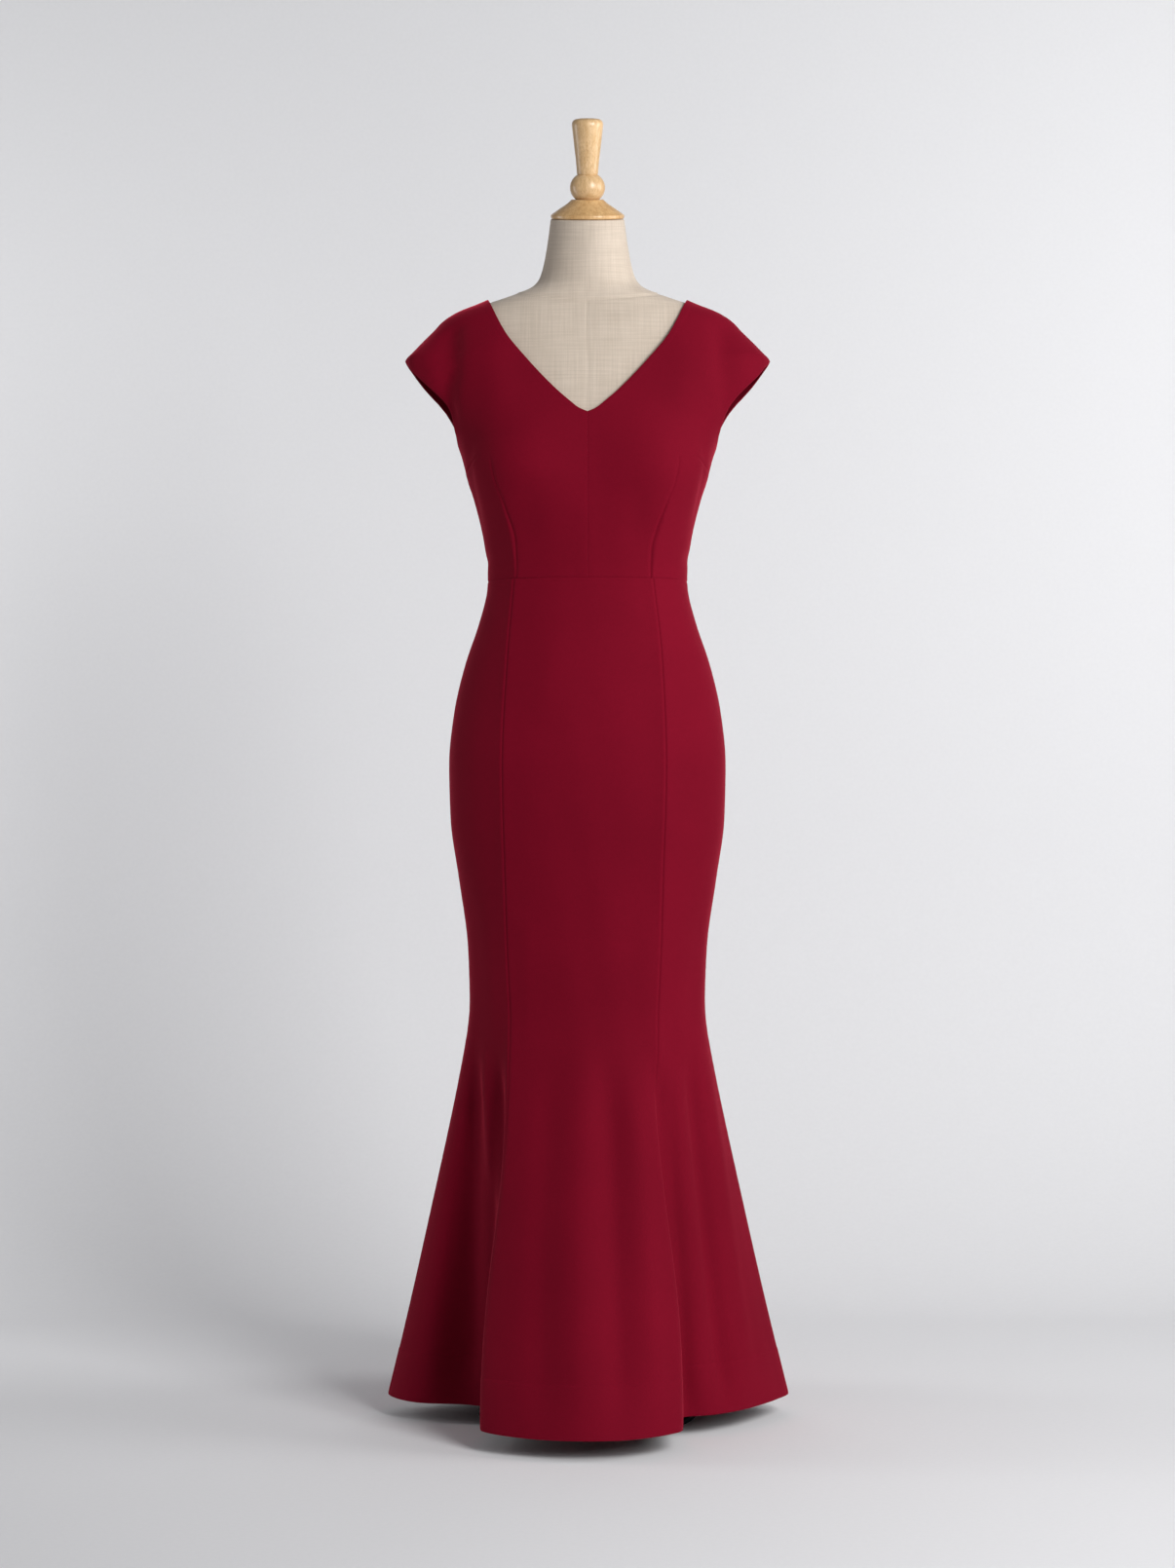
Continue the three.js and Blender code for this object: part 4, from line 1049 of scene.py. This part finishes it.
def make_backdrop():
    """A floor, and a roll of the same paper behind the form that fills the photograph's view."""
    wall_y, wall_half, wall_top, cove, floor_end = 1.4, 1.03, 2.4, 0.7, 0.7
    arc = [(wall_y - cove + cove * math.sin(a), cove - cove * math.cos(a))
           for a in np.linspace(0, math.pi / 2, 40)]
    line = [(floor_end, 0.0), *arc, (wall_y, wall_top)]
    points = [(x, y, z) for y, z in line for x in (-wall_half, wall_half)]
    faces = [(2 * i, 2 * i + 1, 2 * i + 3, 2 * i + 2) for i in range(len(line) - 1)]
    roll = make_mesh("studio_roll", np.array(points), faces)
    far = 9.0
    behind = -0.002
    corners = [(-far, -far, 0), (far, -far, 0), (far, floor_end, 0), (-far, floor_end, 0),
               (-far, far, behind), (far, far, behind), (far, floor_end, behind), (-far, floor_end, behind)]
    floor = make_mesh("studio_floor", np.array(corners, dtype=float), [(0, 1, 2, 3), (7, 6, 5, 4)])
    paper = paper_material()
    for piece in (roll, floor):
        piece.data.materials.append(paper)


# Soft lights, in metres and watts
LIGHTS = {
    "key": {"place": (1.5, -2.1, 2.2), "target": (0, 0, 1.4), "size": (1.2, 1.2), "power": 48},
    "fill": {"place": (2.0, -2.7, 1.7), "target": (0, 0, 1.2), "size": (1.4, 1.4), "power": 43},
    "side": {"place": (2.3, -0.25, 1.8), "target": (0, 0, 1.35), "size": (0.9, 1.3), "power": 19.5},
    "wall_right": {"place": (2.3, 0.2, 1.1), "target": (0.6, 1.4, 0.8), "size": (0.6, 1.6), "power": 5.5},
    "wall_left": {"place": (-2.2, 0.3, 1.1), "target": (-0.2, 1.4, 1.0), "size": (0.6, 1.6), "power": 16},
}


def add_light(name, place, target, size, power):
    data = bpy.data.lights.new(name, "AREA")
    data.shape = "RECTANGLE"
    data.size, data.size_y = size
    data.energy = power
    lamp = bpy.data.objects.new(name, data)
    lamp.location = place
    lamp.rotation_euler = (Vector(target) - Vector(place)).to_track_quat("-Z", "Y").to_euler()
    bpy.context.scene.collection.objects.link(lamp)


def make_lights():
    for name, light in LIGHTS.items():
        add_light(name, **light)
    world = bpy.data.worlds.new("studio")
    world.use_nodes = True
    background = world.node_tree.nodes["Background"]
    background.inputs["Color"].default_value = (0.93, 0.95, 1.0, 1)
    background.inputs["Strength"].default_value = 0.18
    bpy.context.scene.world = world
    bpy.context.scene.view_settings.view_transform = "Standard"


def make_camera():
    """The photograph's view: level, 0.809 m up and 4 m before the gown."""
    photo_height, focal_pixels, sensor = 1610, 3200, 36
    distance, height = 4.0, 0.809
    data = bpy.data.cameras.new("camera")
    data.sensor_width = sensor
    data.lens = focal_pixels / photo_height * sensor
    camera = bpy.data.objects.new("camera", data)
    camera.location = (0, -distance, height)
    camera.rotation_euler = (math.pi / 2, 0, 0)
    bpy.context.scene.collection.objects.link(camera)
    bpy.context.scene.camera = camera


make_camera()
make_bodice()
make_skirt()
make_form()
make_cap_and_finial()
make_stand()
make_zip()
make_backdrop()
make_lights()
